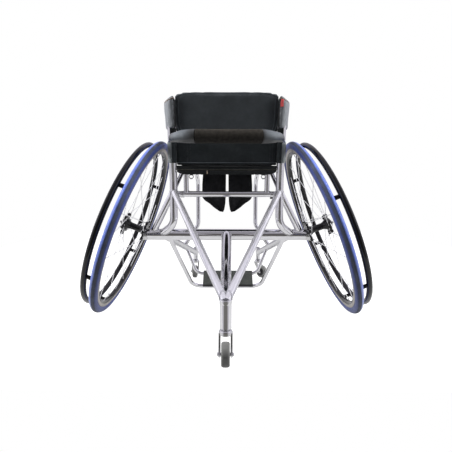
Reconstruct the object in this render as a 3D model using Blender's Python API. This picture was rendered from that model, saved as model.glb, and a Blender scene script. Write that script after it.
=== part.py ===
"""Tennis wheelchair: cambered spoked wheels, welded tube frame, three small swivel casters."""

import math

import bmesh
import bpy
from mathutils import Matrix, Vector

# The frame stands on the ground plane, +Y is forward and +X is the user's right.
# All sizes are in metres and all angles in degrees.
# Side is -1 for the left half and +1 for the right half.
SIDES = {"left": -1, "right": 1}

# Clearances
SEAT_GAP = 0.0003
RUNNING_GAP = 0.0005
CUT_DEPTH = 0.002

# Rear wheels
CAMBER = 20.8
WHEEL_RADIUS = 0.3045
TYRE_SECTION_RADIUS = 0.0126
TYRE_BEAD_ANGLE = 138.0
WHEEL_HALF_TRACK = 0.3163
RIM_HALF_WIDTH = 0.0095
RIM_BED_HALF_WIDTH = 0.0040
RIM_WALL_DEPTH = 0.0100
RIM_DEPTH = 0.0190
WHEEL_SEGMENTS = 48

# Handrims
HANDRIM_RADIUS = 0.2788
HANDRIM_TUBE_RADIUS = 0.0088
HANDRIM_OFFSET = 0.0375
HANDRIM_SIDES = 8
TAB_COUNT = 6
TAB_WIDTH = 0.014
TAB_THICKNESS = 0.007
TAB_TURN = {"left": 0.0, "right": 7.5}

# Hubs, spokes and axles, measured along the axle from the wheel's middle plane
FLANGE_OUTER = 0.0310
FLANGE_INNER = 0.0400
FLANGE_THICKNESS = 0.0040
FLANGE_RADIUS = 0.0390
FLANGE_VALLEY = 0.0240
FLANGE_LOBES = 6
HUB_WAIST_RADIUS = 0.0140
HUB_END_RADIUS = 0.0180
HUB_WAIST_INNER_END = 0.0220
HUB_WAIST_OUTER_END = 0.0124
HUB_OUTER_END = 0.0410
HUB_SEGMENTS = 24
BEARING_RADIUS = 0.0139
BEARING_WIDTH = 0.0080
BEARING_SEGMENTS = 16
SPOKES_PER_FLANGE = 12
SPOKE_RADIUS = 0.0010
SPOKE_HOLE_RADIUS = 0.0290
SPOKE_LEAD = 60.0
SPOKE_STAGGER = 0.0015
AXLE_RADIUS = 0.00635
AXLE_HEAD_RADIUS = 0.0100
AXLE_HEAD_THICKNESS = 0.0040
AXLE_TIP = 0.0900
BUTTON_RADIUS = 0.0038
BUTTON_PROUD = 0.0060
BUTTON_TRAVEL = 0.0050
BUTTON_LENGTH = 0.0210

# Camber tube, which carries the axles
CAMBER_TUBE_DROP = 0.0265
CAMBER_TUBE_RADIUS = 0.01905
CAMBER_TUBE_WALL = 0.0030
CAMBER_TUBE_SETBACK = 0.0473
RECEIVER_DEPTH = 0.0700

# Uprights, which are the side frames, and their braces
POST_RADIUS = 0.0127
POST_HALF_SPREAD = 0.1750
POST_FOOT_SPREAD = 0.2290
POST_FOOT_DROP = 0.0020
POST_FOOT_BEND = 0.0480
POST_ELBOW_RISE = 0.0370
POST_KNEE_HEIGHT = 0.4400
POST_TOP_DROP = 0.0330
POST_RECLINE = 12.0
BRACE_RADIUS = 0.0111
BRACE_FOOT_SPREAD = 0.2550
CROSS_TUBE_RADIUS = 0.0095
CROSS_TUBE_HEIGHT = 0.3980
BRACE_TOP_RISE = 0.0100
SEAT_TUBE_RADIUS = 0.0082
SEAT_TUBE_HEIGHT = 0.4780
SEAT_STRUT_RADIUS = 0.0080
SEAT_STRUT_SPREAD = 0.1330

# Seat rails, which bend down into the front legs and back to the caster arms
RAIL_RADIUS = 0.0082
RAIL_FRONT_HEIGHT = 0.4900
RAIL_FRONT_SPREAD = 0.1200
RAIL_FRONT_REACH = 0.3000
RAIL_FRONT_BEND = 0.0700
LEG_FOOT_HEIGHT = 0.2650
LEG_FOOT_BEND = 0.0400
LEG_ARM_SHARE = 0.58
GUSSET_RADIUS = 0.0070
GUSSET_REACH = 0.0800

# Caster arms, foot loop and foot bar
ARM_RADIUS = 0.0127
ARM_ROOT_SPREAD = 0.2200
ARM_END_HEIGHT = 0.1150
ARM_END_SHARE = 0.985
LOOP_RADIUS = 0.0075
LOOP_ROOT_SPREAD = 0.2010
LOOP_CORNER_SPREAD = 0.1345
LOOP_HEIGHT = 0.0300
LOOP_REACH = 0.1900
LOOP_BEND = 0.0440
FOOT_BAR_RADIUS = 0.0070
FOOT_BAR_ARM_SHARE = 0.66
FOOT_BAR_CORNER_SPREAD = 0.1290
FOOT_BAR_HEIGHT = 0.0520
FOOT_BAR_REACH = 0.3150
FOOT_BAR_BEND = 0.0400
FOOT_PLATE_HALF_WIDTH = 0.0990
FOOT_PLATE_SHIFT = 0.0050
FOOT_PLATE_THICKNESS = 0.0030
FOOT_PLATE_OVERHANG = 0.0120
FOOT_PLATE_LIP = 0.0060

# Casters
CASTER_RADIUS = 0.0290
CASTER_HALF_WIDTH = 0.0105
CASTER_TRAIL = 0.0240
CASTER_AXLE_RADIUS = 0.0040
CASTER_SEGMENTS = 20
CASTER_BOSS_RADIUS = 0.0075
CASTER_CORE_RADIUS = 0.0180
CASTER_CORE_HALF_WIDTH = 0.0063
CASTER_TREAD_HALF_WIDTH = 0.0042
CASTER_SHOULDER_RADIUS = 0.0261
CASTER_SHOULDER_HALF_WIDTH = 0.0089
FORK_LEG_THICKNESS = 0.0040
FORK_LEG_GAP = 0.0018
FORK_CROWN_TOP = 0.0805
FORK_CROWN_THICKNESS = 0.0130
FORK_LEG_WIDTH = 0.0190
FORK_LEG_END_RADIUS = 0.0071
STEM_RADIUS = 0.0060
STEM_CAP_RADIUS = 0.0096
STEM_CAP_HEIGHT = 0.0060
REAR_HOUSING_RADIUS = 0.0150
FRONT_HOUSING_RADIUS = 0.0125
HOUSING_BORE_GAP = 0.0010
HOUSING_SIDES = 16
FRONT_STEM_REACH = 0.4850
FRONT_STEM_SPREAD = 0.1480
FRONT_HOUSING_TOP = 0.1360
REAR_STEM_REACH = 0.4100
REAR_HOUSING_TOP = 0.1540
FRONT_CASTER_TURN = {"left": -3.0, "right": 42.0}

# Anti-tip frame
STRUT_RADIUS = 0.0103
STRUT_FOOT_SPREAD = 0.0020
STRUT_FOOT_HEIGHT = 0.1500
ANTI_TIP_ROOT_INSET = 0.00125
ANTI_TIP_END_RADIUS = 0.0125
ANTI_TIP_FOOT_HEIGHT = 0.1400

# Padded rear bar
BAR_TUBE_RADIUS = 0.0110
BAR_END_RISE = 0.0210
BAR_DROP = 0.0100
BAR_BACK = 0.1900
BAR_CORNER_SPREAD = 0.1500
BAR_BEND = 0.0850
BAR_PAD_END_RADIUS = 0.0155
BAR_PAD_MIDDLE_RADIUS = 0.0210
BAR_PAD_SETBACK = 0.0050
BAR_PAD_SWELL = 1.4

# Back upholstery
BACK_PANEL_HALF_WIDTH = 0.1580
BACK_PANEL_RISE = 0.0110
BACK_PANEL_HEIGHT = 0.1220
BACK_PANEL_SHOULDER_DROP = 0.0075
BACK_PANEL_THICKNESS = 0.0130
BACK_PANEL_BULGE = 0.0160
BACK_PANEL_CORNER_HEIGHT = 0.0500
BACK_PANEL_CORNER_WIDTH = 0.0240
BACK_PANEL_EDGE_SHARE = 0.35
PAD_EDGE_POWER = 6
WING_OUTER = 0.1975
WING_TOP_DROP = 0.0095
WING_TOP_SLOPE = 0.0130
WING_BOTTOM_RISE = 0.0200
WING_END_SHARE = 0.93
WING_SIDE_ROUNDING = 0.5
WING_END_ROUNDING = 0.7
WING_TAPER = 0.0060
WING_FORWARD = 0.0560
WING_BACKWARD = 0.0225
LOWER_PANEL_RISE = 0.0175
LOWER_PANEL_HEIGHT = 0.0765
LOWER_PANEL_EDGE_DROP = 0.0075
LOWER_PANEL_THICKNESS = 0.0100
LOWER_PANEL_BULGE = 0.0120
LOWER_PANEL_EDGE_SHARE = 0.5
SLEEVE_RADIUS = 0.0152
SLEEVE_BOTTOM_INSET = 0.0045
SLEEVE_TOP_INSET = 0.0190

# Seat
SLING_THICKNESS = 0.0030
SLING_SAG = 0.0080
SLING_SAG_REACH = 0.0500
SLING_WRAP_ANGLE = 100.0
SLING_WRAP_STEPS = 3
SLING_FLAT_SHARE = 0.625
SLING_REAR_HALF = 0.1570
SLING_FRONT_MARGIN = 0.0720
SLING_APRON_DROP = 0.0160
CUSHION_THICKNESS = 0.0380
CUSHION_CROWN = 0.0080
CUSHION_MARGIN = 0.0100
CUSHION_GAP = 0.0008
CUSHION_CHANNEL_DEPTH = 0.0040
CUSHION_CHANNELS = (-1 / 3, 1 / 3)
CUSHION_CHANNEL_SHARE = 0.02
CUSHION_CORNER_SHARE = 0.2
CUSHION_EDGE_SHARE = 0.6
CUSHION_FOOT_DRAW = 0.0040
FLAP_TOP_GAP = 0.0005
FLAP_INNER_EDGE = ((0.0200, 0.3330), (0.0125, 0.3390), (0.0065, 0.3510), (0.0040, 0.3690), (0.0040, 0.4700))
FLAP_OUTER_EDGE = ((0.0280, 0.3330), (0.0480, 0.3470), (0.0700, 0.3620), (0.0790, 0.3690),
                   (0.0855, 0.3815), (0.0865, 0.4120), (0.0840, 0.4700))
FLAP_REACH = 0.0500
FLAP_THICKNESS = 0.0030
FLAP_FOLD = 0.0040

# Sides and rings of the round pieces
TUBE_SIDES = 14
THIN_TUBE_SIDES = 10
BEND_STEP = 18.0

# Worked-out sizes
CAMBER_RAD = math.radians(CAMBER)
TYRE_CIRCLE = WHEEL_RADIUS - TYRE_SECTION_RADIUS
HUB_HEIGHT = TYRE_CIRCLE * math.cos(CAMBER_RAD) + TYRE_SECTION_RADIUS
CAMBER_TUBE_HEIGHT = HUB_HEIGHT - CAMBER_TUBE_DROP
CAMBER_TUBE_HALF = WHEEL_HALF_TRACK - CAMBER_TUBE_SETBACK
ANTI_TIP_RADII = [CAMBER_TUBE_RADIUS - ANTI_TIP_ROOT_INSET, ANTI_TIP_END_RADIUS]
BRACE_TOP_HEIGHT = CROSS_TUBE_HEIGHT + BRACE_TOP_RISE
LOWER_PANEL_BOTTOM = SEAT_TUBE_HEIGHT + LOWER_PANEL_RISE
LOWER_PANEL_TOP = LOWER_PANEL_BOTTOM + LOWER_PANEL_HEIGHT
SLEEVE_BOTTOM = LOWER_PANEL_BOTTOM + SLEEVE_BOTTOM_INSET
SLEEVE_TOP = LOWER_PANEL_TOP - SLEEVE_TOP_INSET
BAR_END_HEIGHT = SLEEVE_TOP + BAR_END_RISE
BAR_HEIGHT = BAR_END_HEIGHT - BAR_DROP
BACK_PANEL_BOTTOM = BAR_END_HEIGHT + BACK_PANEL_RISE
BACK_PANEL_TOP = BACK_PANEL_BOTTOM + BACK_PANEL_HEIGHT
BACK_PANEL_SHOULDER = BACK_PANEL_TOP - BACK_PANEL_SHOULDER_DROP
WING_BOTTOM = BACK_PANEL_BOTTOM + WING_BOTTOM_RISE
WING_TOP = BACK_PANEL_TOP - WING_TOP_DROP
POST_TOP_HEIGHT = BACK_PANEL_TOP - POST_TOP_DROP
SLING_HALF_STEP = math.radians(SLING_WRAP_ANGLE / SLING_WRAP_STEPS / 2)
SLING_BEND_RADIUS = (RAIL_RADIUS + SEAT_GAP * 3) / math.cos(SLING_HALF_STEP)
REAR_REACH = REAR_STEM_REACH + CASTER_TRAIL + CASTER_RADIUS
FORK_HALF_WIDTH = CASTER_HALF_WIDTH + FORK_LEG_GAP + FORK_LEG_THICKNESS
WIDEST_TURN = math.radians(max(abs(turn) for turn in FRONT_CASTER_TURN.values()))
FRONT_REACH = (FRONT_STEM_REACH + FORK_HALF_WIDTH * math.sin(WIDEST_TURN)
               + FORK_LEG_WIDTH / 2 * math.cos(WIDEST_TURN))
AXLE_Y = (REAR_REACH - FRONT_REACH) / 2
POST_Y = -(CAMBER_TUBE_RADIUS + POST_RADIUS + SEAT_GAP)
RIM_SEAT_RADIUS = TYRE_CIRCLE + TYRE_SECTION_RADIUS * math.cos(math.radians(TYRE_BEAD_ANGLE)) - SEAT_GAP
RIM_INNER_RADIUS = RIM_SEAT_RADIUS - RIM_DEPTH
HUB_INNER_END = FLANGE_INNER + FLANGE_THICKNESS / 2
HOUSING_BOTTOM = FORK_CROWN_TOP + RUNNING_GAP

COLOURS = {
    "chrome": ((0.80, 0.81, 0.83), 0.12, 1.0),
    "black_gloss": ((0.015, 0.015, 0.017), 0.18, 0.0),
    "black_anodised": ((0.03, 0.03, 0.033), 0.35, 0.6),
    "blue_rubber": ((0.06, 0.12, 0.45), 0.60, 0.0),
    "steel": ((0.62, 0.62, 0.64), 0.30, 1.0),
    "aluminium": ((0.70, 0.71, 0.72), 0.35, 1.0),
    "black_urethane": ((0.03, 0.03, 0.03), 0.50, 0.0),
    "black_fabric": ((0.018, 0.020, 0.023), 0.90, 0.0),
    "black_vinyl": ((0.035, 0.038, 0.042), 0.45, 0.0),
    "foam": ((0.05, 0.045, 0.042), 0.95, 0.0),
    "grip": ((0.09, 0.10, 0.09), 0.85, 0.0),
}


def clear_scene():
    for old in list(bpy.data.objects):
        bpy.data.objects.remove(old, do_unlink=True)


def material(key):
    found = bpy.data.materials.get(key)
    if found:
        return found
    colour, roughness, metallic = COLOURS[key]
    made = bpy.data.materials.new(key)
    made.use_nodes = True
    shader = made.node_tree.nodes["Principled BSDF"]
    shader.inputs["Base Color"].default_value = (*colour, 1.0)
    shader.inputs["Roughness"].default_value = roughness
    shader.inputs["Metallic"].default_value = metallic
    made.diffuse_color = (*colour, 1.0)
    return made


def at(x, y, z):
    """A point whose y is counted forward from the axle."""
    return Vector((x, AXLE_Y + y, z))


def mesh_from(name, verts, faces):
    mesh = bpy.data.meshes.new(name)
    mesh.from_pydata([tuple(v) for v in verts], [], faces)
    mesh.validate()
    shell = bmesh.new()
    shell.from_mesh(mesh)
    bmesh.ops.recalc_face_normals(shell, faces=shell.faces)
    shell.to_mesh(mesh)
    shell.free()
    mesh.shade_smooth()
    mesh.set_sharp_from_angle(angle=math.radians(40))
    return mesh


def place(name, mesh, finish, parent=None, location=(0, 0, 0), rotation=(0, 0, 0)):
    piece = bpy.data.objects.new(name, mesh)
    bpy.context.scene.collection.objects.link(piece)
    piece.location = location
    piece.rotation_euler = rotation
    if parent:
        piece.parent = parent
    if finish:
        mesh.materials.append(material(finish))
    return piece


def empty(name, location, rotation=(0, 0, 0), parent=None):
    holder = bpy.data.objects.new(name, None)
    bpy.context.scene.collection.objects.link(holder)
    holder.location = location
    holder.rotation_euler = rotation
    holder.parent = parent
    return holder


def as_tool(piece):
    """A cutter or a piece that is merged into another: drawn as wire, never rendered."""
    piece.hide_render = True
    piece.display_type = "WIRE"
    return piece


def boolean(piece, tool, operation):
    step = piece.modifiers.new(operation.lower(), "BOOLEAN")
    step.operation = operation
    step.solver = "EXACT"
    step.object = tool


def cut_by(piece, *tools):
    for tool in tools:
        boolean(piece, tool, "DIFFERENCE")


def rounded_path(corners, radius):
    """The straight runs through the corners, joined by arcs of the given radius."""
    path = [corners[0].copy()]
    for before, corner, after in zip(corners, corners[1:], corners[2:]):
        back = (before - corner).normalized()
        ahead = (after - corner).normalized()
        turn = math.pi - back.angle(ahead)
        reach = radius * math.tan(turn / 2)
        start = corner + back * reach
        centre = corner + (back + ahead).normalized() * (radius / math.cos(turn / 2))
        axis = (-back).cross(ahead).normalized()
        steps = max(2, round(math.degrees(turn) / BEND_STEP))
        for index in range(steps + 1):
            spin = Matrix.Rotation(turn * index / steps, 3, axis)
            path.append(centre + spin @ (start - centre))
    path.append(corners[-1].copy())
    return path


def sweep_mesh(name, path, radius, sides):
    """A round bar along a path. The radius is one number or one for each point."""
    radii = radius if isinstance(radius, list) else [radius] * len(path)
    heading = (path[1] - path[0]).normalized()
    across = heading.orthogonal().normalized()
    if abs(heading.y) < 0.9:
        across = heading.cross(Vector((0, 1, 0))).normalized()
    verts = []
    last = len(path) - 1
    for index, point in enumerate(path):
        tangent = (path[min(index + 1, last)] - path[max(index - 1, 0)]).normalized()
        across = heading.rotation_difference(tangent) @ across
        heading = tangent
        other = heading.cross(across)
        for side in range(sides):
            angle = 2 * math.pi * side / sides
            verts.append(point + (across * math.cos(angle) + other * math.sin(angle)) * radii[index])
    return mesh_from(name, verts, grid_faces(len(path), sides, caps=True))


def grid_faces(rings, sides, caps=False, loop=False):
    """Quads between rings of vertices, with flat caps or closed into a loop."""
    faces = []
    for ring in range(rings if loop else rings - 1):
        following = (ring + 1) % rings
        for side in range(sides):
            across = (side + 1) % sides
            faces.append((ring * sides + side, ring * sides + across,
                          following * sides + across, following * sides + side))
    if caps:
        faces.append(tuple(reversed(range(sides))))
        faces.append(tuple(range((rings - 1) * sides, rings * sides)))
    return faces


def tube(name, path, radius, finish="chrome", sides=TUBE_SIDES):
    return place(name, sweep_mesh(name, path, radius, sides), finish)


def tube_clearance(name, path, radius, sides=TUBE_SIDES, gap=SEAT_GAP):
    """The space that a tube needs, used to shape the ends of the tubes that meet it."""
    path = [point.copy() for point in path]
    path[0] += (path[0] - path[1]).normalized() * gap
    path[-1] += (path[-1] - path[-2]).normalized() * gap
    wider = [value + gap for value in radius] if isinstance(radius, list) else radius + gap
    return as_tool(place(name, sweep_mesh(name, path, wider, sides), None))


def turned_mesh(name, profile, segments, ripple=None):
    """A ring turned about Z from a closed profile of (radius, height) points."""
    verts = []
    for index, (radius, height) in enumerate(profile):
        for segment in range(segments):
            angle = 2 * math.pi * segment / segments
            reach = ripple(index, angle) if ripple else None
            distance = radius if reach is None else reach
            verts.append((distance * math.cos(angle), distance * math.sin(angle), height))
    return mesh_from(name, verts, grid_faces(len(profile), segments, loop=True))


def disc_mesh(name, profile, segments):
    """A solid turned about Z from an open profile of (radius, height) points, with flat ends."""
    verts = []
    for radius, height in profile:
        for segment in range(segments):
            angle = 2 * math.pi * segment / segments
            verts.append((radius * math.cos(angle), radius * math.sin(angle), height))
    return mesh_from(name, verts, grid_faces(len(profile), segments, caps=True))


def box_mesh(name, low, high):
    verts = [(x, y, z) for z in (low[2], high[2]) for x, y in
             ((low[0], low[1]), (high[0], low[1]), (high[0], high[1]), (low[0], high[1]))]
    return mesh_from(name, verts, grid_faces(2, 4, caps=True))


# Paths of the frame tubes

def on_post(height):
    """The middle of an upright at a height, as distance from the axle and height."""
    lean = math.tan(math.radians(POST_RECLINE)) * max(0.0, height - POST_KNEE_HEIGHT)
    return POST_Y - lean


def post_path(side):
    foot = at(side * POST_FOOT_SPREAD, 0, CAMBER_TUBE_HEIGHT - POST_FOOT_DROP)
    elbow = at(side * POST_HALF_SPREAD, POST_Y, CAMBER_TUBE_HEIGHT + POST_ELBOW_RISE)
    knee = at(side * POST_HALF_SPREAD, POST_Y, POST_KNEE_HEIGHT)
    top = at(side * POST_HALF_SPREAD, on_post(POST_TOP_HEIGHT), POST_TOP_HEIGHT)
    return rounded_path([foot, elbow, knee, top], POST_FOOT_BEND)


def camber_path():
    return [at(-CAMBER_TUBE_HALF, 0, CAMBER_TUBE_HEIGHT), at(CAMBER_TUBE_HALF, 0, CAMBER_TUBE_HEIGHT)]


def brace_path(side):
    return [at(side * POST_HALF_SPREAD, POST_Y, BRACE_TOP_HEIGHT),
            at(side * BRACE_FOOT_SPREAD, 0, CAMBER_TUBE_HEIGHT)]


def cross_tube_path():
    return [at(-POST_HALF_SPREAD, POST_Y, CROSS_TUBE_HEIGHT), at(POST_HALF_SPREAD, POST_Y, CROSS_TUBE_HEIGHT)]


def seat_tube_path():
    back = on_post(SEAT_TUBE_HEIGHT)
    return [at(-POST_HALF_SPREAD, back, SEAT_TUBE_HEIGHT), at(POST_HALF_SPREAD, back, SEAT_TUBE_HEIGHT)]


def seat_strut_path(side):
    return [at(side * SEAT_STRUT_SPREAD, on_post(SEAT_TUBE_HEIGHT), SEAT_TUBE_HEIGHT),
            at(side * SEAT_STRUT_SPREAD, POST_Y, CROSS_TUBE_HEIGHT)]


def arm_point(side, share):
    root = at(side * ARM_ROOT_SPREAD, 0, CAMBER_TUBE_HEIGHT)
    end = at(side * FRONT_STEM_SPREAD, FRONT_STEM_REACH, ARM_END_HEIGHT)
    return root.lerp(end, share)


def arm_path(side):
    return [arm_point(side, 0), arm_point(side, ARM_END_SHARE)]


def rail_start(side):
    return at(side * POST_HALF_SPREAD, on_post(SEAT_TUBE_HEIGHT), SEAT_TUBE_HEIGHT)


def rail_front(side):
    return at(side * RAIL_FRONT_SPREAD, RAIL_FRONT_REACH, RAIL_FRONT_HEIGHT)


def rail_path(side):
    foot = at(side * RAIL_FRONT_SPREAD, RAIL_FRONT_REACH, LEG_FOOT_HEIGHT)
    corners = [rail_start(side), rail_front(side), foot, arm_point(side, LEG_ARM_SHARE)]
    upper = rounded_path(corners[:3], RAIL_FRONT_BEND)
    lower = rounded_path([upper[-2], foot, corners[3]], LEG_FOOT_BEND)
    return upper[:-1] + lower[1:]


def gusset_path(side):
    share = (GUSSET_REACH - on_post(SEAT_TUBE_HEIGHT)) / (RAIL_FRONT_REACH - on_post(SEAT_TUBE_HEIGHT))
    return [at(side * POST_HALF_SPREAD, POST_Y, BRACE_TOP_HEIGHT),
            rail_start(side).lerp(rail_front(side), share)]


def strut_path(side):
    return [at(side * POST_HALF_SPREAD, POST_Y, BRACE_TOP_HEIGHT),
            at(side * STRUT_FOOT_SPREAD, -REAR_STEM_REACH, STRUT_FOOT_HEIGHT)]


def anti_tip_path():
    return [at(0, 0, CAMBER_TUBE_HEIGHT), at(0, -REAR_STEM_REACH, ANTI_TIP_FOOT_HEIGHT)]


def loop_path():
    corners = [at(side * spread, reach, height)
               for side, spread, reach, height in (
                   (-1, LOOP_ROOT_SPREAD, 0, CAMBER_TUBE_HEIGHT),
                   (-1, LOOP_CORNER_SPREAD, LOOP_REACH, LOOP_HEIGHT),
                   (1, LOOP_CORNER_SPREAD, LOOP_REACH, LOOP_HEIGHT),
                   (1, LOOP_ROOT_SPREAD, 0, CAMBER_TUBE_HEIGHT))]
    return rounded_path(corners, LOOP_BEND)


def foot_bar_path():
    left = at(-FOOT_BAR_CORNER_SPREAD, FOOT_BAR_REACH, FOOT_BAR_HEIGHT)
    right = at(FOOT_BAR_CORNER_SPREAD, FOOT_BAR_REACH, FOOT_BAR_HEIGHT)
    corners = [arm_point(-1, FOOT_BAR_ARM_SHARE), left, right, arm_point(1, FOOT_BAR_ARM_SHARE)]
    return rounded_path(corners, FOOT_BAR_BEND)


def bar_path():
    reach = on_post(BAR_END_HEIGHT)
    corners = [at(-POST_HALF_SPREAD, reach, BAR_END_HEIGHT), at(-BAR_CORNER_SPREAD, -BAR_BACK, BAR_HEIGHT),
               at(BAR_CORNER_SPREAD, -BAR_BACK, BAR_HEIGHT), at(POST_HALF_SPREAD, reach, BAR_END_HEIGHT)]
    return rounded_path(corners, BAR_BEND)


# Frame

def camber_tube_with_bore():
    piece = tube("camber_tube", camber_path(), CAMBER_TUBE_RADIUS, sides=HUB_SEGMENTS)
    overshoot = CAMBER_TUBE_HALF + CUT_DEPTH
    bore_path = [at(-overshoot, 0, CAMBER_TUBE_HEIGHT), at(overshoot, 0, CAMBER_TUBE_HEIGHT)]
    bore = tube_clearance("camber_tube_bore", bore_path, CAMBER_TUBE_RADIUS - CAMBER_TUBE_WALL,
                          HUB_SEGMENTS, gap=0)
    cut_by(piece, bore)


def frame_tubes(spaces):
    """The welded frame, tube by tube. Each end is shaped to the tube that it meets."""
    camber_tube_with_bore()
    spaces["camber"] = tube_clearance("camber_space", camber_path(), CAMBER_TUBE_RADIUS, HUB_SEGMENTS)
    spaces["cross"] = tube_clearance("cross_space", cross_tube_path(), CROSS_TUBE_RADIUS)
    spaces["seat"] = tube_clearance("seat_space", seat_tube_path(), SEAT_TUBE_RADIUS)
    spaces["anti_tip"] = tube_clearance("anti_tip_space", anti_tip_path(), ANTI_TIP_RADII)
    for hand, side in SIDES.items():
        cut_by(tube(f"side_post_{hand}", post_path(side), POST_RADIUS), spaces["camber"])
        spaces["post", hand] = tube_clearance(f"post_space_{hand}", post_path(side), POST_RADIUS)
        spaces["arm", hand] = tube_clearance(f"arm_space_{hand}", arm_path(side), ARM_RADIUS)
        spaces["rail", hand] = tube_clearance(f"rail_space_{hand}", rail_path(side), RAIL_RADIUS)
        spaces["strut", hand] = tube_clearance(f"strut_space_{hand}", strut_path(side), STRUT_RADIUS)
        spaces["brace", hand] = tube_clearance(f"brace_space_{hand}", brace_path(side), BRACE_RADIUS)

    for hand, side in SIDES.items():
        brace = tube(f"side_brace_{hand}", brace_path(side), BRACE_RADIUS)
        cut_by(brace, spaces["post", hand], spaces["camber"])
        strut = tube(f"anti_tip_strut_{hand}", strut_path(side), STRUT_RADIUS)
        cut_by(strut, spaces["post", hand], spaces["anti_tip"], spaces["rear_housing"],
               spaces["half", hand])
        rail = tube(f"seat_rail_{hand}", rail_path(side), RAIL_RADIUS)
        cut_by(rail, spaces["post", hand], spaces["arm", hand])
        gusset = tube(f"rail_gusset_{hand}", gusset_path(side), GUSSET_RADIUS, sides=THIN_TUBE_SIDES)
        cut_by(gusset, spaces["post", hand], spaces["rail", hand], spaces["brace", hand], spaces["cross"])
        arm = tube(f"caster_arm_{hand}", arm_path(side), ARM_RADIUS)
        cut_by(arm, spaces["camber"], spaces["housing", hand])

    cross = tube("upper_cross_tube", cross_tube_path(), CROSS_TUBE_RADIUS)
    cut_by(cross, *(spaces[kind, hand] for hand in SIDES for kind in ("post", "strut", "brace")))
    anti_tip = tube("anti_tip_tube", anti_tip_path(), ANTI_TIP_RADII)
    cut_by(anti_tip, spaces["camber"], spaces["rear_housing"])
    seat_frame(spaces)
    foot_frame(spaces)


def seat_frame(spaces):
    """The rear seat tube with its two short struts, welded into one piece."""
    seat_tube = tube("seat_rear_tube", seat_tube_path(), SEAT_TUBE_RADIUS)
    for hand, side in SIDES.items():
        strut = as_tool(tube(f"seat_strut_{hand}", seat_strut_path(side), SEAT_STRUT_RADIUS,
                             sides=THIN_TUBE_SIDES))
        boolean(seat_tube, strut, "UNION")
    cut_by(seat_tube, spaces["cross"])
    for hand in SIDES:
        cut_by(seat_tube, spaces["post", hand], spaces["rail", hand])


def foot_frame(spaces):
    loop = tube("foot_loop", loop_path(), LOOP_RADIUS, sides=THIN_TUBE_SIDES)
    bar = tube("foot_bar", foot_bar_path(), FOOT_BAR_RADIUS, sides=THIN_TUBE_SIDES)
    cut_by(loop, spaces["camber"])
    for hand in SIDES:
        cut_by(loop, spaces["arm", hand])
        cut_by(bar, spaces["arm", hand])
    foot_plate()


def foot_plate():
    """A ribbed tread plate that lies on the loop and the bar, with turned-down edges."""
    rear = Vector((LOOP_REACH, LOOP_HEIGHT))
    front = Vector((FOOT_BAR_REACH, FOOT_BAR_HEIGHT))
    along = (front - rear).normalized()
    up = Vector((-along.y, along.x))
    rear_rest = rear + up * (LOOP_RADIUS + SEAT_GAP)
    front_rest = front + up * (FOOT_BAR_RADIUS + SEAT_GAP)
    along = (front_rest - rear_rest).normalized()
    up = Vector((-along.y, along.x))
    length = (front_rest - rear_rest).length
    outline = [(-FOOT_PLATE_OVERHANG, -FOOT_PLATE_LIP),
               (-FOOT_PLATE_OVERHANG, FOOT_PLATE_THICKNESS - CUT_DEPTH / 2),
               (-FOOT_PLATE_OVERHANG + CUT_DEPTH / 2, FOOT_PLATE_THICKNESS),
               (length + FOOT_PLATE_OVERHANG - CUT_DEPTH / 2, FOOT_PLATE_THICKNESS),
               (length + FOOT_PLATE_OVERHANG, FOOT_PLATE_THICKNESS - CUT_DEPTH / 2),
               (length + FOOT_PLATE_OVERHANG, -FOOT_PLATE_LIP),
               (length + FOOT_PLATE_OVERHANG - FOOT_PLATE_THICKNESS, -FOOT_PLATE_LIP),
               (length + FOOT_PLATE_OVERHANG - FOOT_PLATE_THICKNESS, SEAT_GAP / 3),
               (-FOOT_PLATE_OVERHANG + FOOT_PLATE_THICKNESS, SEAT_GAP / 3),
               (-FOOT_PLATE_OVERHANG + FOOT_PLATE_THICKNESS, -FOOT_PLATE_LIP)]
    verts = []
    for x in (FOOT_PLATE_SHIFT - FOOT_PLATE_HALF_WIDTH, FOOT_PLATE_SHIFT + FOOT_PLATE_HALF_WIDTH):
        for run, rise in outline:
            spot = rear_rest + along * run + up * rise
            verts.append(at(x, spot.x, spot.y))
    mesh = mesh_from("foot_plate", verts, grid_faces(2, len(outline), caps=True))
    place("foot_plate", mesh, "grip")


# Rear wheels

def tyre_profile():
    """The tyre's section. One corner points straight down, so the tread meets the ground."""
    step = 36.0
    angles = [index * step - CAMBER for index in range(-4, 5)]
    angles = [angle for angle in angles if abs(angle) < TYRE_BEAD_ANGLE - step / 2]
    angles = [-TYRE_BEAD_ANGLE] + angles + [TYRE_BEAD_ANGLE]
    return [(TYRE_CIRCLE + TYRE_SECTION_RADIUS * math.cos(math.radians(angle)),
             TYRE_SECTION_RADIUS * math.sin(math.radians(angle))) for angle in angles]


def rim_profile():
    wall_foot = RIM_SEAT_RADIUS - RIM_WALL_DEPTH
    return [(RIM_SEAT_RADIUS, -RIM_HALF_WIDTH), (RIM_SEAT_RADIUS, RIM_HALF_WIDTH),
            (wall_foot, RIM_HALF_WIDTH), (RIM_INNER_RADIUS, RIM_BED_HALF_WIDTH),
            (RIM_INNER_RADIUS, -RIM_BED_HALF_WIDTH), (wall_foot, -RIM_HALF_WIDTH)]


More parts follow.
